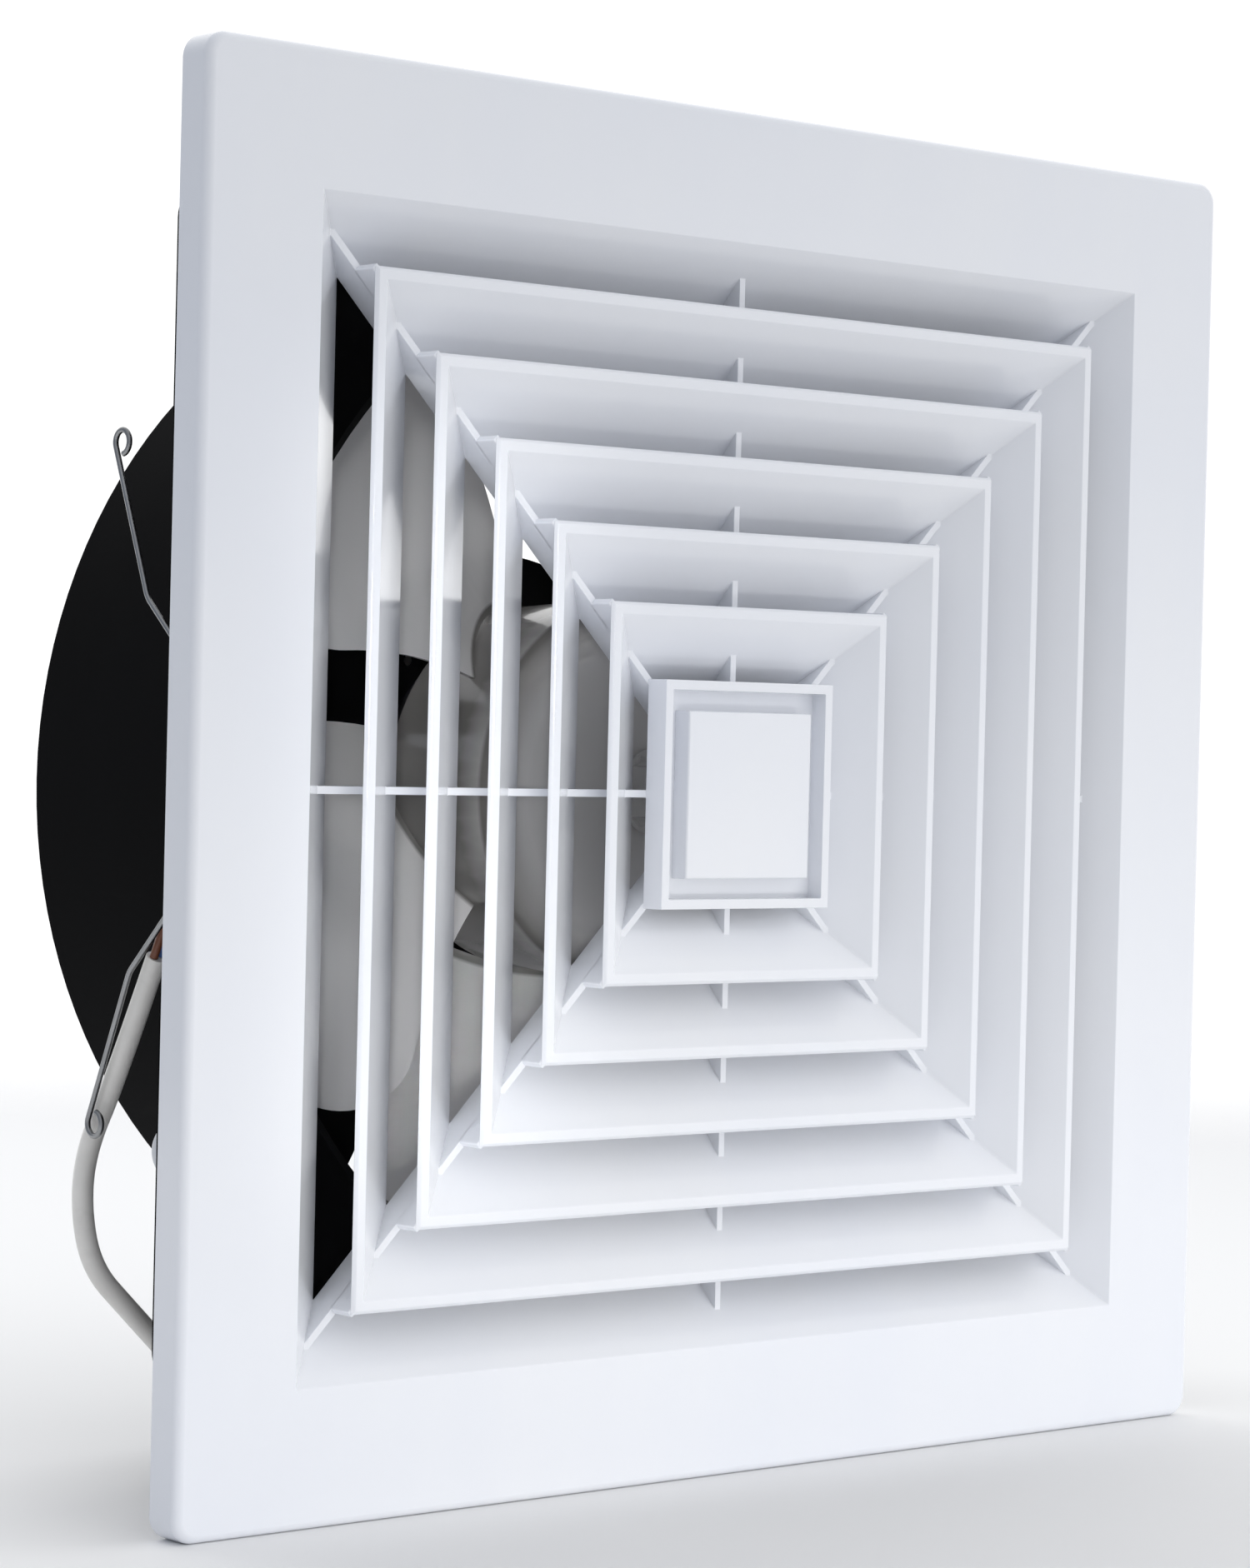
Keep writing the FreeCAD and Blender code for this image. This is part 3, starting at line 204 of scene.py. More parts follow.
class FanColours(bpy.types.PropertyGroup):
    """Colours that a user would change."""

    panel: FloatVectorProperty(
        name="Panel", description="White of the grille", subtype="COLOR", size=4,
        default=(0.845, 0.868, 0.925, 1.0))
    housing: FloatVectorProperty(
        name="Housing", description="Black of the housing and bracket", subtype="COLOR", size=4,
        default=(0.003, 0.003, 0.0034, 1.0))
    blades: FloatVectorProperty(
        name="Blades", description="Grey white of the impeller", subtype="COLOR", size=4,
        default=(0.93, 0.92, 0.92, 1.0))
    sheath: FloatVectorProperty(
        name="Cord sheath", description="Pale outer sheath of the cord", subtype="COLOR", size=4,
        default=(0.85, 0.83, 0.79, 1.0))
    brown: FloatVectorProperty(
        name="Brown conductor", description="Insulation of the live conductor", subtype="COLOR", size=4,
        default=(0.2, 0.07, 0.035, 1.0))
    blue: FloatVectorProperty(
        name="Blue conductor", description="Insulation of the neutral conductor", subtype="COLOR", size=4,
        default=(0.05, 0.14, 0.42, 1.0))
    floor: FloatVectorProperty(
        name="Floor", description="Pale studio floor", subtype="COLOR", size=4,
        default=(0.96, 0.96, 0.96, 1.0))


class Field:
    """A shader socket that takes part in sums: each operation on it adds a Math node."""

    def __init__(self, finish, socket):
        self.finish = finish
        self.socket = socket

    def sum(self, operation, left, right):
        return self.finish.node("ShaderNodeMath", {"operation": operation}, {0: left, 1: right})

    def __add__(self, other):
        return self.sum("ADD", self, other)

    def __radd__(self, other):
        return self.sum("ADD", other, self)

    def __sub__(self, other):
        return self.sum("SUBTRACT", self, other)

    def __rsub__(self, other):
        return self.sum("SUBTRACT", other, self)

    def __mul__(self, other):
        return self.sum("MULTIPLY", self, other)


class Finish:
    """One procedural material and the nodes that make it."""

    def __init__(self, name, **constants):
        plain = bpy.data.materials.get(name)
        if plain:
            plain.name = "plain_" + name
        self.material = bpy.data.materials.new(name)
        self.material.use_nodes = True
        self.tree = self.material.node_tree
        self.shader = next(n for n in self.tree.nodes if n.type == "BSDF_PRINCIPLED")
        for label, value in constants.items():
            self.shader.inputs[self.label(label)].default_value = value

    @staticmethod
    def label(key):
        """The shader's name for an input: capitals, and IOR in full."""
        return key.replace("_", " ").title().replace("Ior", "IOR")

    def node(self, kind, settings=None, inputs=None, output=0):
        """Add a node: its settings first, then the values or links of its sockets."""
        made = self.tree.nodes.new(kind)
        for key, value in (settings or {}).items():
            setattr(made, key, value)
        for key, value in (inputs or {}).items():
            self.feed(made.inputs[key], value)
        return Field(self, made.outputs[output])

    def feed(self, socket, value):
        if isinstance(value, Field):
            self.tree.links.new(value.socket, socket)
        else:
            socket.default_value = value

    def set(self, **fields):
        """Feed the shader's varying inputs."""
        for label, field in fields.items():
            self.feed(self.shader.inputs[self.label(label)], field)
        return self.material

    def place(self):
        return self.node("ShaderNodeTexCoord", output="Object")

    def stretched(self, scale):
        """Object coordinates squeezed by the given factors."""
        return self.node("ShaderNodeMapping", {"vector_type": "POINT"},
                         {"Vector": self.place(), "Scale": scale})

    def noise(self, scale, detail=2.0, roughness=0.5, where=None):
        return self.node("ShaderNodeTexNoise", {"noise_dimensions": "3D"}, {
            "Vector": where or self.place(), "Scale": scale, "Detail": detail, "Roughness": roughness})

    def ramp(self, field, low, high):
        """0 below low and 1 above high."""
        return self.node("ShaderNodeMapRange", {"clamp": True}, {
            "Value": field, "From Min": low, "From Max": high, "To Min": 0.0, "To Max": 1.0})

    def blend(self, factor, first, second):
        """A colour between two colours."""
        return self.node("ShaderNodeMix", {"data_type": "RGBA"}, {0: factor, 6: first, 7: second}, output=2)

    def bump(self, height, strength, distance):
        return self.node("ShaderNodeBump", None, {
            "Height": height, "Strength": strength, "Distance": distance})

    def part(self, vector, axis):
        """One axis of a vector."""
        return self.node("ShaderNodeSeparateXYZ", None, {0: vector}, output=axis)

    def upward(self):
        """How far the surface faces up, from -1 to 1."""
        return self.part(self.node("ShaderNodeNewGeometry", output="Normal"), "Z")

    def off_axis(self):
        """The square of the distance from the fan axis."""
        x = self.part(self.place(), "X")
        z = self.part(self.place(), "Z")
        return x * x + z * z


def shade(colour, factor):
    """A colour made lighter or darker."""
    return tuple(channel * factor for channel in colour[:3]) + (1.0,)


def white_abs():
    """Gloss white moulding with faint flow lines and handling marks."""
    colour = bpy.context.scene.fan_colours.panel
    finish = Finish("white_abs", coat_roughness=0.04, ior=1.5)
    cloud = finish.noise(7.0)
    flow = finish.noise(26.0, detail=3.0, roughness=0.6, where=finish.stretched((1.0, 0.3, 0.25)))
    peel = finish.noise(520.0, detail=1.0)
    handled = finish.ramp(finish.noise(38.0, detail=4.0, roughness=0.65), 0.45, 0.75)
    base = finish.blend(finish.ramp(cloud * 0.7 + flow * 0.3, 0.35, 0.65), shade(colour, 0.985),
                        (min(1.0, colour[0] * 1.03), colour[1] * 1.02, colour[2] * 0.995, 1.0))
    return finish.set(base_color=base, roughness=0.12 + handled * 0.07, coat_weight=0.35 - handled * 0.1,
                      normal=finish.bump(peel, strength=0.03, distance=0.2 * MM))


def black_moulding():
    """Matt black moulding with a fine grain, dust on what faces up, and rub marks."""
    colour = bpy.context.scene.fan_colours.housing
    finish = Finish("black_moulding", specular_ior_level=0.035)
    grain = finish.noise(1500.0, roughness=0.6)
    cloud = finish.noise(14.0, detail=4.0, roughness=0.6)
    specks = finish.noise(60.0, detail=5.0, roughness=0.7)
    dust = finish.ramp(finish.upward(), 0.1, 0.95) * finish.ramp(specks, 0.35, 0.8)
    rubs = finish.noise(90.0, detail=6.0, roughness=0.7, where=finish.stretched((1.0, 0.15, 1.0)))
    scuff = finish.ramp(rubs, 0.62, 0.8)
    worn = finish.blend(finish.ramp(cloud, 0.3, 0.7), shade(colour, 0.8), shade(colour, 1.5))
    base = finish.blend(dust * 0.05 + scuff * 0.02, worn, (0.16, 0.15, 0.14, 1.0))
    return finish.set(base_color=base, roughness=0.58 + cloud * 0.14 + dust * 0.15,
                      normal=finish.bump(grain, strength=0.22, distance=0.08 * MM))


def fan_plastic():
    """Glossy grey white moulding with a film of handling marks, and painted shade that darkens the hub,
    most at its flank.
    """
    colour = bpy.context.scene.fan_colours.blades
    finish = Finish("fan_plastic", coat_roughness=0.05, ior=1.45, transmission_weight=0.2)
    cloud = finish.noise(14.0)
    film = finish.ramp(finish.noise(22.0, detail=3.0), 0.4, 0.75)
    # painted shade: inside the hub's radius the colour is pulled half way to a dark brown grey, and further
    # at the hub's flank
    hub = 1.0 - finish.ramp(finish.off_axis(), (HUB_R * 0.99) ** 2, (HUB_R * 1.01) ** 2)
    flank_shade = finish.ramp(finish.off_axis(), (HUB_R * 0.8) ** 2, (HUB_R * 0.97) ** 2)
    base = finish.blend(finish.ramp(cloud, 0.35, 0.65), shade(colour, 0.96), shade(colour, 1.03))
    base = finish.blend(hub * (0.5 + flank_shade * 0.4), base, (0.2, 0.19, 0.18, 1.0))
    return finish.set(base_color=base, roughness=0.16 + film * 0.1, coat_weight=0.6 - film * 0.2,
                      normal=finish.bump(cloud, strength=0.02, distance=0.3 * MM))


def metal(name, colour, rough, scale, stretch):
    """A metal with fine marks that run along the stretch."""
    finish = Finish(name, metallic=1.0)
    marks = finish.noise(scale, detail=3.0, roughness=0.6, where=finish.stretched(stretch))
    cloud = finish.noise(scale * 0.06, detail=4.0, roughness=0.6)
    tarnish = finish.ramp(cloud, 0.35, 0.7)
    base = finish.blend(tarnish, shade(colour, 1.0), shade(colour, 0.82))
    return finish.set(base_color=base, roughness=rough + marks * 0.14 + tarnish * 0.08,
                      normal=finish.bump(marks, strength=0.05, distance=0.1 * MM))


def zinc_wire():
    return metal("zinc_wire", (0.36, 0.365, 0.37), rough=0.2, scale=900.0, stretch=(1.0, 0.2, 0.2))


def zinc_screw():
    return metal("zinc_screw", (0.6, 0.6, 0.57), rough=0.24, scale=1400.0, stretch=(1.0, 1.0, 0.3))


def motor_casting():
    """Black baked enamel on pressed steel, chipped to bare metal here and there."""
    finish = Finish("motor_casting", ior=1.5)
    orange = finish.noise(700.0)
    cloud = finish.noise(45.0, detail=4.0, roughness=0.6)
    chip = finish.ramp(finish.noise(260.0, detail=6.0, roughness=0.7), 0.7, 0.74)
    coat = finish.blend(finish.ramp(cloud, 0.3, 0.7), (0.012, 0.012, 0.013, 1.0),
                        (0.024, 0.024, 0.025, 1.0))
    base = finish.blend(chip, coat, (0.3, 0.29, 0.27, 1.0))
    return finish.set(base_color=base, roughness=0.3 + cloud * 0.15 + chip * 0.2, metallic=chip * 0.9,
                      normal=finish.bump(orange - chip * 0.6, strength=0.15, distance=0.1 * MM))


def bearing_steel():
    return metal("bearing_steel", (0.68, 0.68, 0.69), rough=0.12, scale=1500.0, stretch=(1.0, 0.1, 1.0))


def shaft_steel():
    return metal("shaft_steel", (0.62, 0.62, 0.63), rough=0.2, scale=1800.0, stretch=(0.1, 1.0, 0.1))


def bare_copper():
    return metal("bare_copper", (0.78, 0.36, 0.18), rough=0.2, scale=1600.0, stretch=(0.4, 0.4, 1.0))


def lamination():
    """Stacked sheet edges: fine rings across the fan axis."""
    finish = Finish("lamination", metallic=1.0)
    sheets = finish.node("ShaderNodeTexWave", {"wave_type": "BANDS", "bands_direction": "Y"}, {
        "Vector": finish.place(), "Scale": 320.0, "Distortion": 0.4}, output="Fac")
    rust = finish.ramp(finish.noise(160.0, detail=5.0, roughness=0.7), 0.6, 0.8)
    base = finish.blend(rust * 0.6, (0.34, 0.34, 0.36, 1.0), (0.25, 0.14, 0.08, 1.0))
    return finish.set(base_color=base, roughness=0.35 + rust * 0.3 + sheets * 0.1,
                      normal=finish.bump(sheets, strength=0.4, distance=0.1 * MM))


def enamel_copper():
    """Varnished turns of winding wire."""
    finish = Finish("enamel_copper", coat_roughness=0.12, metallic=0.6)
    turns = finish.node("ShaderNodeTexWave", {"wave_type": "RINGS", "rings_direction": "Y"}, {
        "Vector": finish.place(), "Scale": 420.0, "Distortion": 1.2, "Detail": 1.0}, output="Fac")
    pool = finish.ramp(finish.noise(120.0, detail=3.0), 0.4, 0.7)
    base = finish.blend(turns * 0.5 + pool * 0.3, (0.30, 0.11, 0.035, 1.0), (0.62, 0.27, 0.1, 1.0))
    return finish.set(base_color=base, roughness=0.3 + pool * 0.15, coat_weight=0.6 - pool * 0.2,
                      normal=finish.bump(turns, strength=0.6, distance=0.2 * MM))


def soft_plastic(name, colour, rough):
    """Flexible sheath or insulation with a dull skin and handling marks."""
    finish = Finish(name, ior=1.48)
    skin = finish.noise(900.0, roughness=0.6)
    cloud = finish.noise(60.0, detail=4.0, roughness=0.6)
    grime = finish.ramp(finish.noise(140.0, detail=5.0, roughness=0.7), 0.55, 0.8)
    base = finish.blend(finish.ramp(cloud, 0.35, 0.7), shade(colour, 0.94), shade(colour, 1.04))
    soiled = finish.blend(grime * 0.18, base, shade(colour, 0.5))
    return finish.set(base_color=soiled, roughness=rough + grime * 0.15 + cloud * 0.06,
                      normal=finish.bump(skin, strength=0.08, distance=0.08 * MM))


def pale_pvc():
    return soft_plastic("pale_pvc", bpy.context.scene.fan_colours.sheath, rough=0.36)


def brown_pvc():
    return soft_plastic("brown_pvc", bpy.context.scene.fan_colours.brown, rough=0.32)


def blue_pvc():
    return soft_plastic("blue_pvc", bpy.context.scene.fan_colours.blue, rough=0.32)


def pale_nylon():
    return soft_plastic("pale_nylon", (0.66, 0.68, 0.72, 1.0), rough=0.4)


def black_sleeve():
    """A woven sleeve: two crossing bands of yarn."""
    finish = Finish("black_sleeve")
    bands = [finish.node("ShaderNodeTexWave", {"wave_type": "BANDS", "bands_direction": "DIAGONAL"}, {
        "Vector": finish.stretched(squeeze), "Scale": 260.0, "Distortion": 0.3}, output="Fac")
        for squeeze in ((1.0, 1.0, 1.0), (-1.0, 1.0, 1.0))]
    weave = bands[0] * bands[1]
    fuzz = finish.noise(1500.0, detail=4.0, roughness=0.7)
    base = finish.blend(weave, (0.012, 0.012, 0.012, 1.0), (0.06, 0.06, 0.062, 1.0))
    return finish.set(base_color=base, roughness=0.7 + fuzz * 0.2,
                      normal=finish.bump(weave, strength=0.7, distance=0.25 * MM))


FINISHES = {make.__name__: make for make in (
    white_abs, black_moulding, fan_plastic, zinc_wire, zinc_screw, motor_casting, bearing_steel,
    shaft_steel, bare_copper, lamination, enamel_copper, pale_pvc, brown_pvc, blue_pvc, pale_nylon,
    black_sleeve)}
MADE = {}


def finish_for(slot):
    """The material of a slot, made when it is first asked for."""
    if slot not in MADE:
        MADE[slot] = FINISHES[slot]()
    return MADE[slot]


def paint(obj, slot):
    obj.data.materials.clear()
    obj.data.materials.append(finish_for(slot))


def pick(obj):
    """Make one object the only selected one."""
    bpy.ops.object.select_all(action="DESELECT")
    obj.select_set(True)
    bpy.context.view_layer.objects.active = obj


def settle(obj, node, body):
    """Let a finished piece stand for a node, on its body and in its slot."""
    paint(obj, SLOT_OF[node])
    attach(obj, body)
    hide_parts(node)


def changed(obj, kind, **settings):
    """Add a modifier to the active object and apply it."""
    change = obj.modifiers.new(kind.lower(), kind)
    for key, value in settings.items():
        setattr(change, key, value)
    bpy.ops.object.modifier_apply(modifier=change.name)


def rounded_piece(node, width):
    """Copy a solid, merge its seams and flat faces, and round its sharp edges."""
    merge = 1e-6
    flat = math.radians(0.3)
    sharp = math.radians(SHARP_ANGLE)
    piece = bpy.data.objects.new(node + "_piece", NODES[node].data.copy())
    bpy.context.scene.collection.objects.link(piece)
    pick(piece)
    bpy.ops.mesh.customdata_custom_splitnormals_clear()
    bpy.ops.object.mode_set(mode="EDIT")
    bpy.ops.mesh.select_all(action="SELECT")
    bpy.ops.mesh.remove_doubles(threshold=merge)
    bpy.ops.mesh.dissolve_limited(angle_limit=flat)
    bpy.ops.object.mode_set(mode="OBJECT")
    changed(piece, "BEVEL", width=width, segments=ROUND_STEPS, limit_method="ANGLE",
            angle_limit=sharp, use_clamp_overlap=True)
    bpy.ops.object.shade_smooth_by_angle(angle=sharp)
    changed(piece, "WEIGHTED_NORMAL", keep_sharp=True)
    settle(piece, node, NODES[node]["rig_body"])
    return piece


def round_curve(node):
    """An empty round curve that will stand for a node. Its points give its thickness."""
    curve = bpy.data.curves.new(node + "_line", "CURVE")
    curve.dimensions = "3D"
    curve.bevel_depth = 1.0
    curve.bevel_resolution = 6
    curve.use_fill_caps = True
    line = bpy.data.objects.new(node + "_line", curve)
    bpy.context.scene.collection.objects.link(line)
    settle(line, node, NODES[node]["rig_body"])
    return line


def lay(line, kind, points, radius):
    """Add a run of the given kind and radius to a curve, with its points in millimetres."""
    run = line.data.splines.new(kind)
    run.points.add(len(points) - 1)
    for knot, point in zip(run.points, points):
        knot.co = (*(Vector(point) * MM), 1.0)
        knot.radius = radius
    return run


def smooth_line(node, route, radius):
    """A round cord on one smooth NURBS line with the route's points as control points."""
    line = round_curve(node)
    run = lay(line, "NURBS", route, radius)
    run.order_u = 3
    run.use_endpoint_u = True
    run.resolution_u = 16
    return line


def bent(points, heading, radius, turn):
    """Carry a flat path on along an arc to the left, and give its new heading."""
    steps = max(2, round(turn / ARC_STEP))
    half = turn / steps / 2
    chord = 2 * radius * math.sin(math.radians(half))
    for _ in range(steps):
        heading += half
        way = math.radians(heading)
        y, z, depth = points[-1]
        points.append((y + chord * math.cos(way), z + chord * math.sin(way), depth))
        heading += half
    return heading


def run_on(points, heading, length):
    """Carry a flat path on in a straight line."""
    way = math.radians(heading)
    y, z, depth = points[-1]
    points.append((y + length * math.cos(way), z + length * math.sin(way), depth))


def spring_path(rest, run, bend):
    """A spring arm's middle line: curl, arm, bend, tip and eye, as distances from the post."""
    points = []
    steps = round(CURL_TURN / ARC_STEP)
    for k in range(steps, -1, -1):
        turn = CURL_TURN * k / steps
        angle = math.radians(rest + 90 + turn)
        depth = CURL_PITCH * max(0.0, turn - FLAT_TURN) / (CURL_TURN - FLAT_TURN)
        points.append((CURL_R * math.cos(angle), CURL_R * math.sin(angle), depth))
    trim = BEND_R * math.tan(math.radians(bend) / 2)
    run_on(points, rest, run - trim)
    heading = bent(points, rest, BEND_R, bend)
    run_on(points, heading, TIP_RUN - trim)
    bent(points, heading, EYE_R, EYE_TURN)
    return points


def strand_path(end, way, turn, spread):
    """A strand that winds round the end of a conductor and stands off a little at its tip."""
    across = way.cross(Vector((1.0, 0.0, 0.0))).normalized()
    beside = way.cross(across)
    points = []
    for k in range(STRAND_STEPS + 1):
        along = k / STRAND_STEPS
        angle = turn + STRAND_TWIST * along
        reach = spread * (1.0 + STRAND_FLARE * along * along)
        points.append(end + way * (STRAND_LENGTH * along)
                      + (across * math.cos(angle) + beside * math.sin(angle)) * reach)
    return points


def corner_webs(width):
    """Thin webs that stand between the front corners of the rings and the diagonal ribs."""
    bpy.ops.mesh.primitive_plane_add(size=1.0)
    webs = bpy.context.active_object
    for corner, (inward, depth) in zip(webs.data.polygons[0].vertices, WEB_OUTLINE):
        half = (RING_HALF - inward) * MM
        webs.data.vertices[corner].co = (half, depth * MM, half)
    step = -RING_PITCH * MM
    changed(webs, "SOLIDIFY", thickness=WEB_THICK * MM, offset=0.0)
    changed(webs, "BEVEL", width=width, segments=ROUND_STEPS)
    changed(webs, "ARRAY", count=RING_COUNT, use_relative_offset=False, use_constant_offset=True,
            constant_offset_displace=(step, 0.0, step))
    changed(webs, "MIRROR", use_axis=(True, False, True), use_mirror_merge=False)
    return webs


class FAN_OT_grille(bpy.types.Operator):
    """Round the edges of the louvered grille and its centre cap and give them a gloss white finish"""

    bl_idname = "fan.grille"
    bl_label = "Grille"

    def execute(self, context):
        width = context.scene.fan_sizes.panel_round
        rounded_piece("centre_cap", width)
        grille = rounded_piece("grille", width)
        webs = corner_webs(width)
        paint(webs, SLOT_OF["grille"])
        pick(grille)
        webs.select_set(True)
        bpy.ops.object.join()
        return {"FINISHED"}


class FAN_OT_housing(bpy.types.Operator):
    """Round the edges of the black housing and motor bracket and give them a matt grain"""

    bl_idname = "fan.housing"
    bl_label = "Housing"

    def execute(self, context):
        for node in ("housing", "motor_bracket"):
            rounded_piece(node, context.scene.fan_sizes.housing_round)
        return {"FINISHED"}


class FAN_OT_impeller(bpy.types.Operator):
    """Round the edges of the impeller and its spinner nut"""

    bl_idname = "fan.impeller"
    bl_label = "Impeller"

    def execute(self, context):
        for node in ("impeller", "impeller_nut", "impeller_washer"):
            rounded_piece(node, context.scene.fan_sizes.blade_round)
        return {"FINISHED"}


class FAN_OT_motor(bpy.types.Operator):
    """Round the motor's shells and finish what they hold"""

    bl_idname = "fan.motor"
    bl_label = "Motor"

    def execute(self, context):
        sizes = context.scene.fan_sizes
        for node in ("motor_front_shell", "motor_rear_shell", "stator_core", "stator_windings",
                     "shading_bars", "front_bearing", "rear_bearing", "shaft", "rotor_core", "drive_pin"):
            rounded_piece(node, sizes.metal_round)
        lead = smooth_line("motor_lead", LEAD_ROUTE, sizes.lead_radius)
        return {"FINISHED"}


class FAN_OT_screws(bpy.types.Operator):
    """Round the heads of the screws and give them a zinc finish"""

    bl_idname = "fan.screws"
    bl_label = "Screws"

    def execute(self, context):
        for node in ("housing_screws", "bracket_screws", "motor_screws", "motor_mount_screws",
                     "spring_screws"):
            rounded_piece(node, context.scene.fan_sizes.metal_round)
        return {"FINISHED"}


class FAN_OT_springs(bpy.types.Operator):
    """Bend the wires of the hanging springs"""

    bl_idname = "fan.springs"
    bl_label = "Hanging springs"

    def execute(self, context):
        for joint in frame["joints"]:
            side, height = joint["name"].split("_")[:2]
            if height not in ARMS:
                continue
            post = Vector(joint["pos_m"]) / MM
            outward = math.copysign(1.0, post.x)
            up = 1.0 if height == "upper" else -1.0
            path = [(post.x + outward * up * depth, post.y + y, post.z + up * z)
                    for y, z, depth in spring_path(**ARMS[height])]
            wire = round_curve(f"{side}_spring_{height}_arm")
            lay(wire, "POLY", path, context.scene.fan_sizes.wire_radius)
        return {"FINISHED"}


class FAN_OT_cord(bpy.types.Operator):
    """Lay the supply cord, its conductors and its copper ends"""

    bl_idname = "fan.cord"
    bl_label = "Supply cord"

    def execute(self, context):
        sizes = context.scene.fan_sizes
        for node in ("cord_gland", "gland_nut"):
            rounded_piece(node, sizes.metal_round)
        sheath = smooth_line("cord_sheath", CORD_ROUTE, sizes.cord_radius)
        brown = smooth_line("brown_conductor", BROWN_ROUTE, sizes.core_radius)
        blue = smooth_line("blue_conductor", BLUE_ROUTE, sizes.core_radius)
        copper = round_curve("copper_strands")
        ring = sizes.core_radius / MM - 2 * sizes.strand_radius / MM
        for route in (BROWN_ROUTE, BLUE_ROUTE):
            end = Vector(route[-1])
            way = (end - Vector(route[-2])).normalized()
            for k in range(sizes.strand_count):
                turn = k * STRAND_APART
                spread = ring * STRAND_FILL * math.sqrt((k + 0.5) / sizes.strand_count)
                lay(copper, "POLY", strand_path(end, way, turn, spread), sizes.strand_radius)
        return {"FINISHED"}


def soft_box(name, at, aim, size, watts, colour=(1.0, 1.0, 1.0), mirrored=False, spread=180.0):
    """An oblong studio light that faces a point. Only a mirrored one shows in what is glossy."""
    light = bpy.data.lights.new(name, "AREA")
    light.shape = "RECTANGLE"
    light.size, light.size_y = size
    light.energy = watts
    light.spread = math.radians(spread)
    light.color = colour
    lamp = bpy.data.objects.new(name, light)
    lamp.location = at
    lamp.rotation_euler = (Vector(aim) - Vector(at)).to_track_quat("-Z", "Y").to_euler()
    lamp.visible_camera = False
    lamp.visible_glossy = mirrored
    bpy.context.scene.collection.objects.link(lamp)


def make_sky(scene):
    """A world that is white behind the fan and falls off to a cool grey at its lower left front."""
    world = bpy.data.worlds.new("studio")
    world.use_nodes = True
    tree = world.node_tree
    sky = next(n for n in tree.nodes if n.type == "BACKGROUND")
    place = tree.nodes.new("ShaderNodeTexCoord")
    behind = tree.nodes.new("ShaderNodeVectorMath")
    rear = tree.nodes.new("ShaderNodeMapRange")
    aim = tree.nodes.new("ShaderNodeVectorMath")
    bright = tree.nodes.new("ShaderNodeMapRange")
    front = tree.nodes.new("ShaderNodeMix")
    tint = tree.nodes.new("ShaderNodeMix")
    front.data_type = "RGBA"
    tint.data_type = "RGBA"
    behind.operation = "DOT_PRODUCT"
    behind.inputs[1].default_value = Vector(REAR_AIM).normalized()
    aim.operation = "DOT_PRODUCT"
    aim.inputs[1].default_value = Vector(SKY_AIM).normalized()
    for span, (low, high) in ((rear, REAR_SPAN), (bright, BRIGHT_SPAN)):
        span.inputs["From Min"].default_value = low
        span.inputs["From Max"].default_value = high
    front.inputs[6].default_value = SKY_DIM
    front.inputs[7].default_value = SKY_BRIGHT
    tint.inputs[7].default_value = SKY_REAR
    tree.links.new(place.outputs["Generated"], behind.inputs[0])
    tree.links.new(place.outputs["Generated"], aim.inputs[0])
    tree.links.new(aim.outputs["Value"], bright.inputs["Value"])
    tree.links.new(bright.outputs[0], front.inputs[0])
    tree.links.new(behind.outputs["Value"], rear.inputs["Value"])
    tree.links.new(rear.outputs[0], tint.inputs[0])
    tree.links.new(front.outputs[2], tint.inputs[6])
    tree.links.new(tint.outputs[2], sky.inputs["Color"])
    scene.world = world


def make_camera():
    """The photograph's camera, from its measured place, angles and focal length."""
    azimuth = math.radians(CAMERA_AZIMUTH)
    elevation = math.radians(CAMERA_ELEVATION)
    roll = math.radians(CAMERA_ROLL)
    back = Vector((math.sin(azimuth) * math.cos(elevation), -math.cos(azimuth) * math.cos(elevation),
                   math.sin(elevation)))
    level = back.cross(Vector((0, 0, -1))).normalized()
    upright = back.cross(level)
    right = level * math.cos(roll) + upright * math.sin(roll)
    up = upright * math.cos(roll) - level * math.sin(roll)
    data = bpy.data.cameras.new("photo_camera")
    data.sensor_width = SENSOR
    data.lens = FOCAL_PIXELS * SENSOR / max(PHOTO_WIDTH, PHOTO_HEIGHT)
    camera = bpy.data.objects.new("photo_camera", data)
    bpy.context.scene.collection.objects.link(camera)
    turn = Matrix((right, up, back)).transposed().to_4x4()
    camera.matrix_world = Matrix.Translation(CAMERA_AT) @ turn
    bpy.context.scene.camera = camera


def floor_finish(colour):
    """Pale floor, darker in a patch ahead of the fan and fading out at its rim."""
    finish = Finish("studio_floor")
    x = finish.part(finish.place(), "X")
    y = finish.part(finish.place(), "Y")
    ahead = y + PATCH_AHEAD
    tone = finish.ramp(x * x + ahead * ahead + finish.noise(3.0) * 0.05,
                       PATCH_SPAN[0] ** 2, PATCH_SPAN[1] ** 2)
    rim = finish.ramp(x * x + y * y, RIM_SPAN[0] ** 2, RIM_SPAN[1] ** 2)
    base = finish.blend(tone, shade(colour, PATCH_SHADE), colour)
    return finish.set(base_color=base, roughness=0.7 - tone * 0.1, alpha=1.0 - rim)


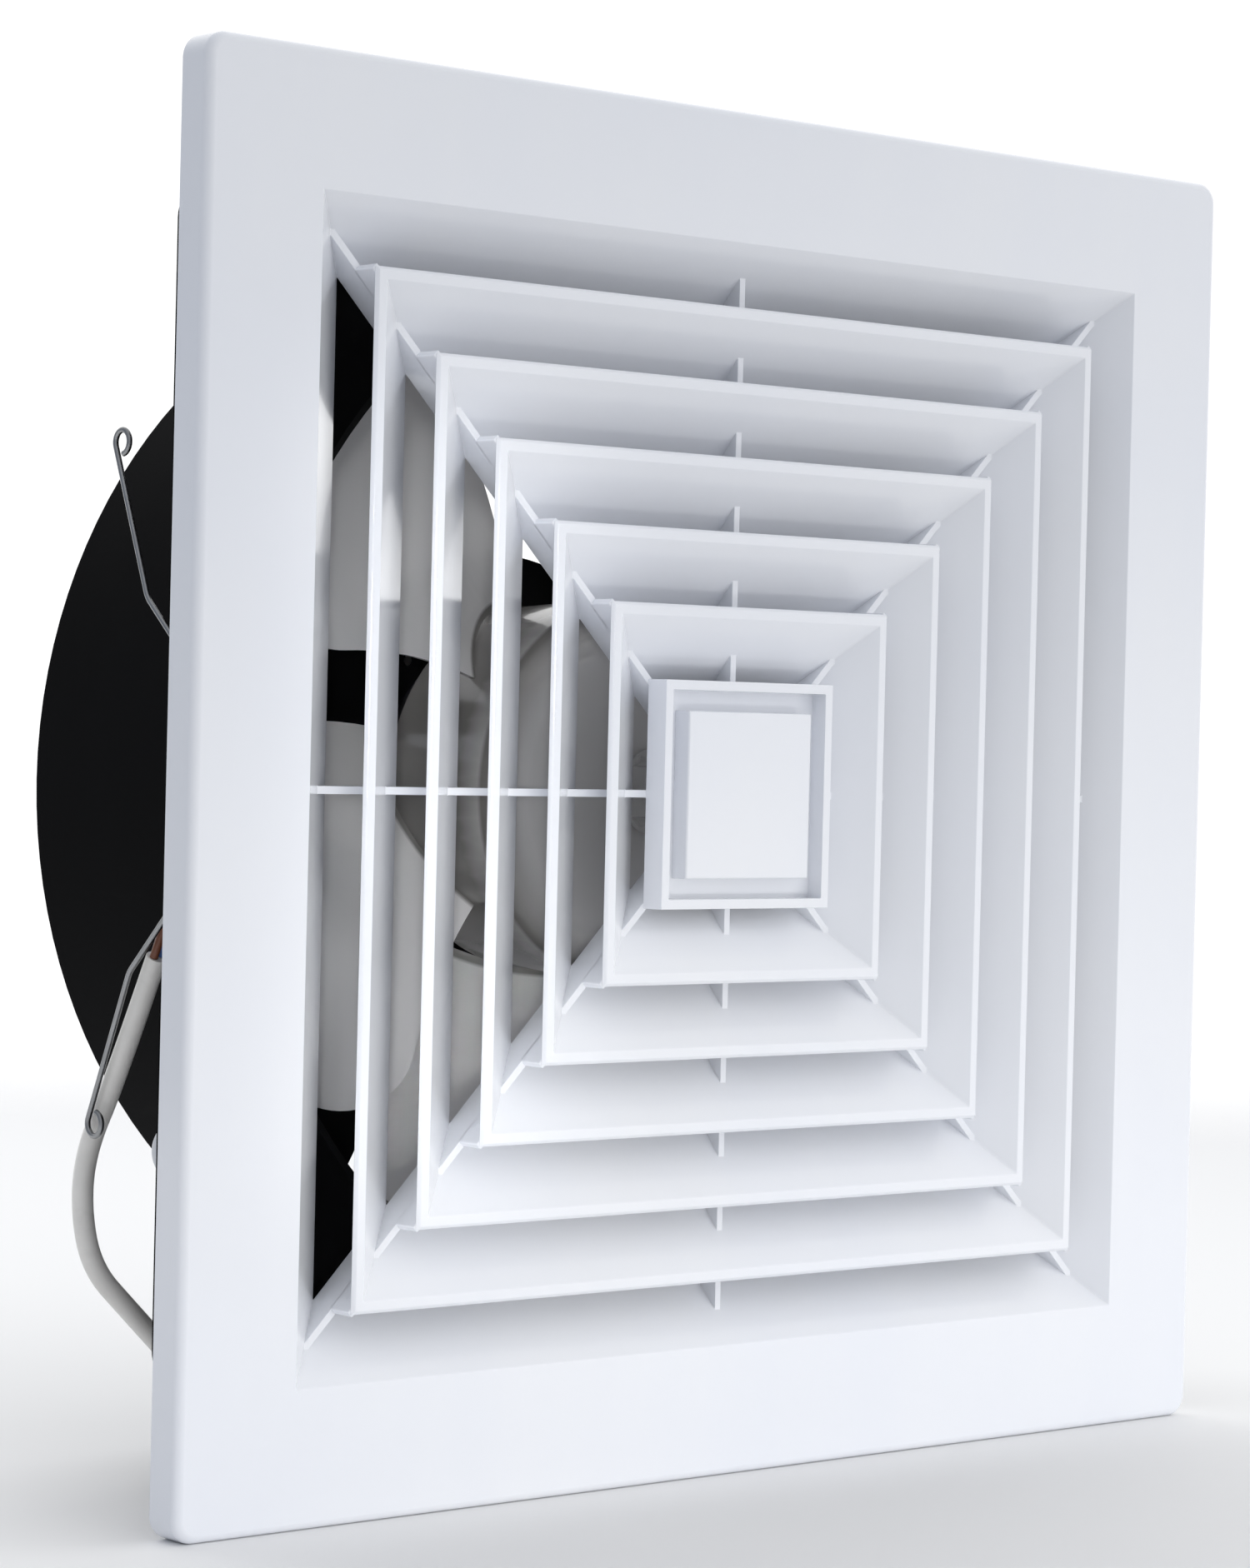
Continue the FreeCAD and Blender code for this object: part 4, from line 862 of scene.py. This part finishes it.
class FAN_OT_stage(bpy.types.Operator):
    """Set up the pale floor, the soft lights and the photograph's camera"""

    bl_idname = "fan.stage"
    bl_label = "Studio"

    def execute(self, context):
        scene = context.scene
        scene.view_settings.view_transform = "Standard"
        bpy.ops.object.select_all(action="DESELECT")
        bpy.ops.mesh.primitive_plane_add(size=FLOOR_SIZE, location=(0, 0, CAD_BOX[0].z))
        floor = context.active_object
        floor.name = "studio_floor"
        bpy.ops.object.transform_apply(location=True)
        floor.data.materials.append(floor_finish(scene.fan_colours.floor))
        make_sky(scene)
        soft_box("low_key", (0.02, -0.4, -0.13), (0, 0, -0.15), size=(0.6, 0.06), watts=0.18,
                 colour=(1.0, 0.99, 0.97), spread=90.0)
        soft_box("side", (0.6, -0.5, 0.35), (0.05, 0, 0.05), size=(0.5, 0.5), watts=0.75,
                 colour=(1.0, 0.99, 0.98))
        soft_box("top", (-0.1, 0.7, 1.3), (0, 0.4, -0.2), size=(1.2, 1.2), watts=6.0)
        soft_box("inside", (-0.573, -0.596, 0.01), (-0.068, 0.03, -0.005), size=(0.05, 0.2), watts=0.013,
                 mirrored=True, spread=6.0)
        make_camera()
        return {"FINISHED"}


class FAN_PT_panel(bpy.types.Panel):
    """Lists the fan's pieces, sizes and colours"""

    bl_idname = "FAN_PT_panel"
    bl_label = "Ceiling exhaust fan"
    bl_space_type = "VIEW_3D"
    bl_region_type = "UI"
    bl_category = "Fan"

    def draw(self, context):
        for operator in OPERATORS:
            self.layout.operator(operator.bl_idname)
        for group in (context.scene.fan_sizes, context.scene.fan_colours):
            for name in group.__annotations__:
                self.layout.prop(group, name)


OPERATORS = (FAN_OT_grille, FAN_OT_housing, FAN_OT_impeller, FAN_OT_motor, FAN_OT_screws, FAN_OT_springs,
             FAN_OT_cord, FAN_OT_stage)
CLASSES = (FanSizes, FanColours) + OPERATORS + (FAN_PT_panel,)


def register():
    for kind in CLASSES:
        bpy.utils.register_class(kind)
    bpy.types.Scene.fan_sizes = PointerProperty(type=FanSizes)
    bpy.types.Scene.fan_colours = PointerProperty(type=FanColours)


def unregister():
    del bpy.types.Scene.fan_colours
    del bpy.types.Scene.fan_sizes
    for kind in reversed(CLASSES):
        bpy.utils.unregister_class(kind)


def main():
    register()
    bpy.ops.fan.grille()
    bpy.ops.fan.housing()
    bpy.ops.fan.impeller()
    bpy.ops.fan.motor()
    bpy.ops.fan.screws()
    bpy.ops.fan.springs()
    bpy.ops.fan.cord()
    bpy.ops.fan.stage()


if __name__ == "__main__":
    main()
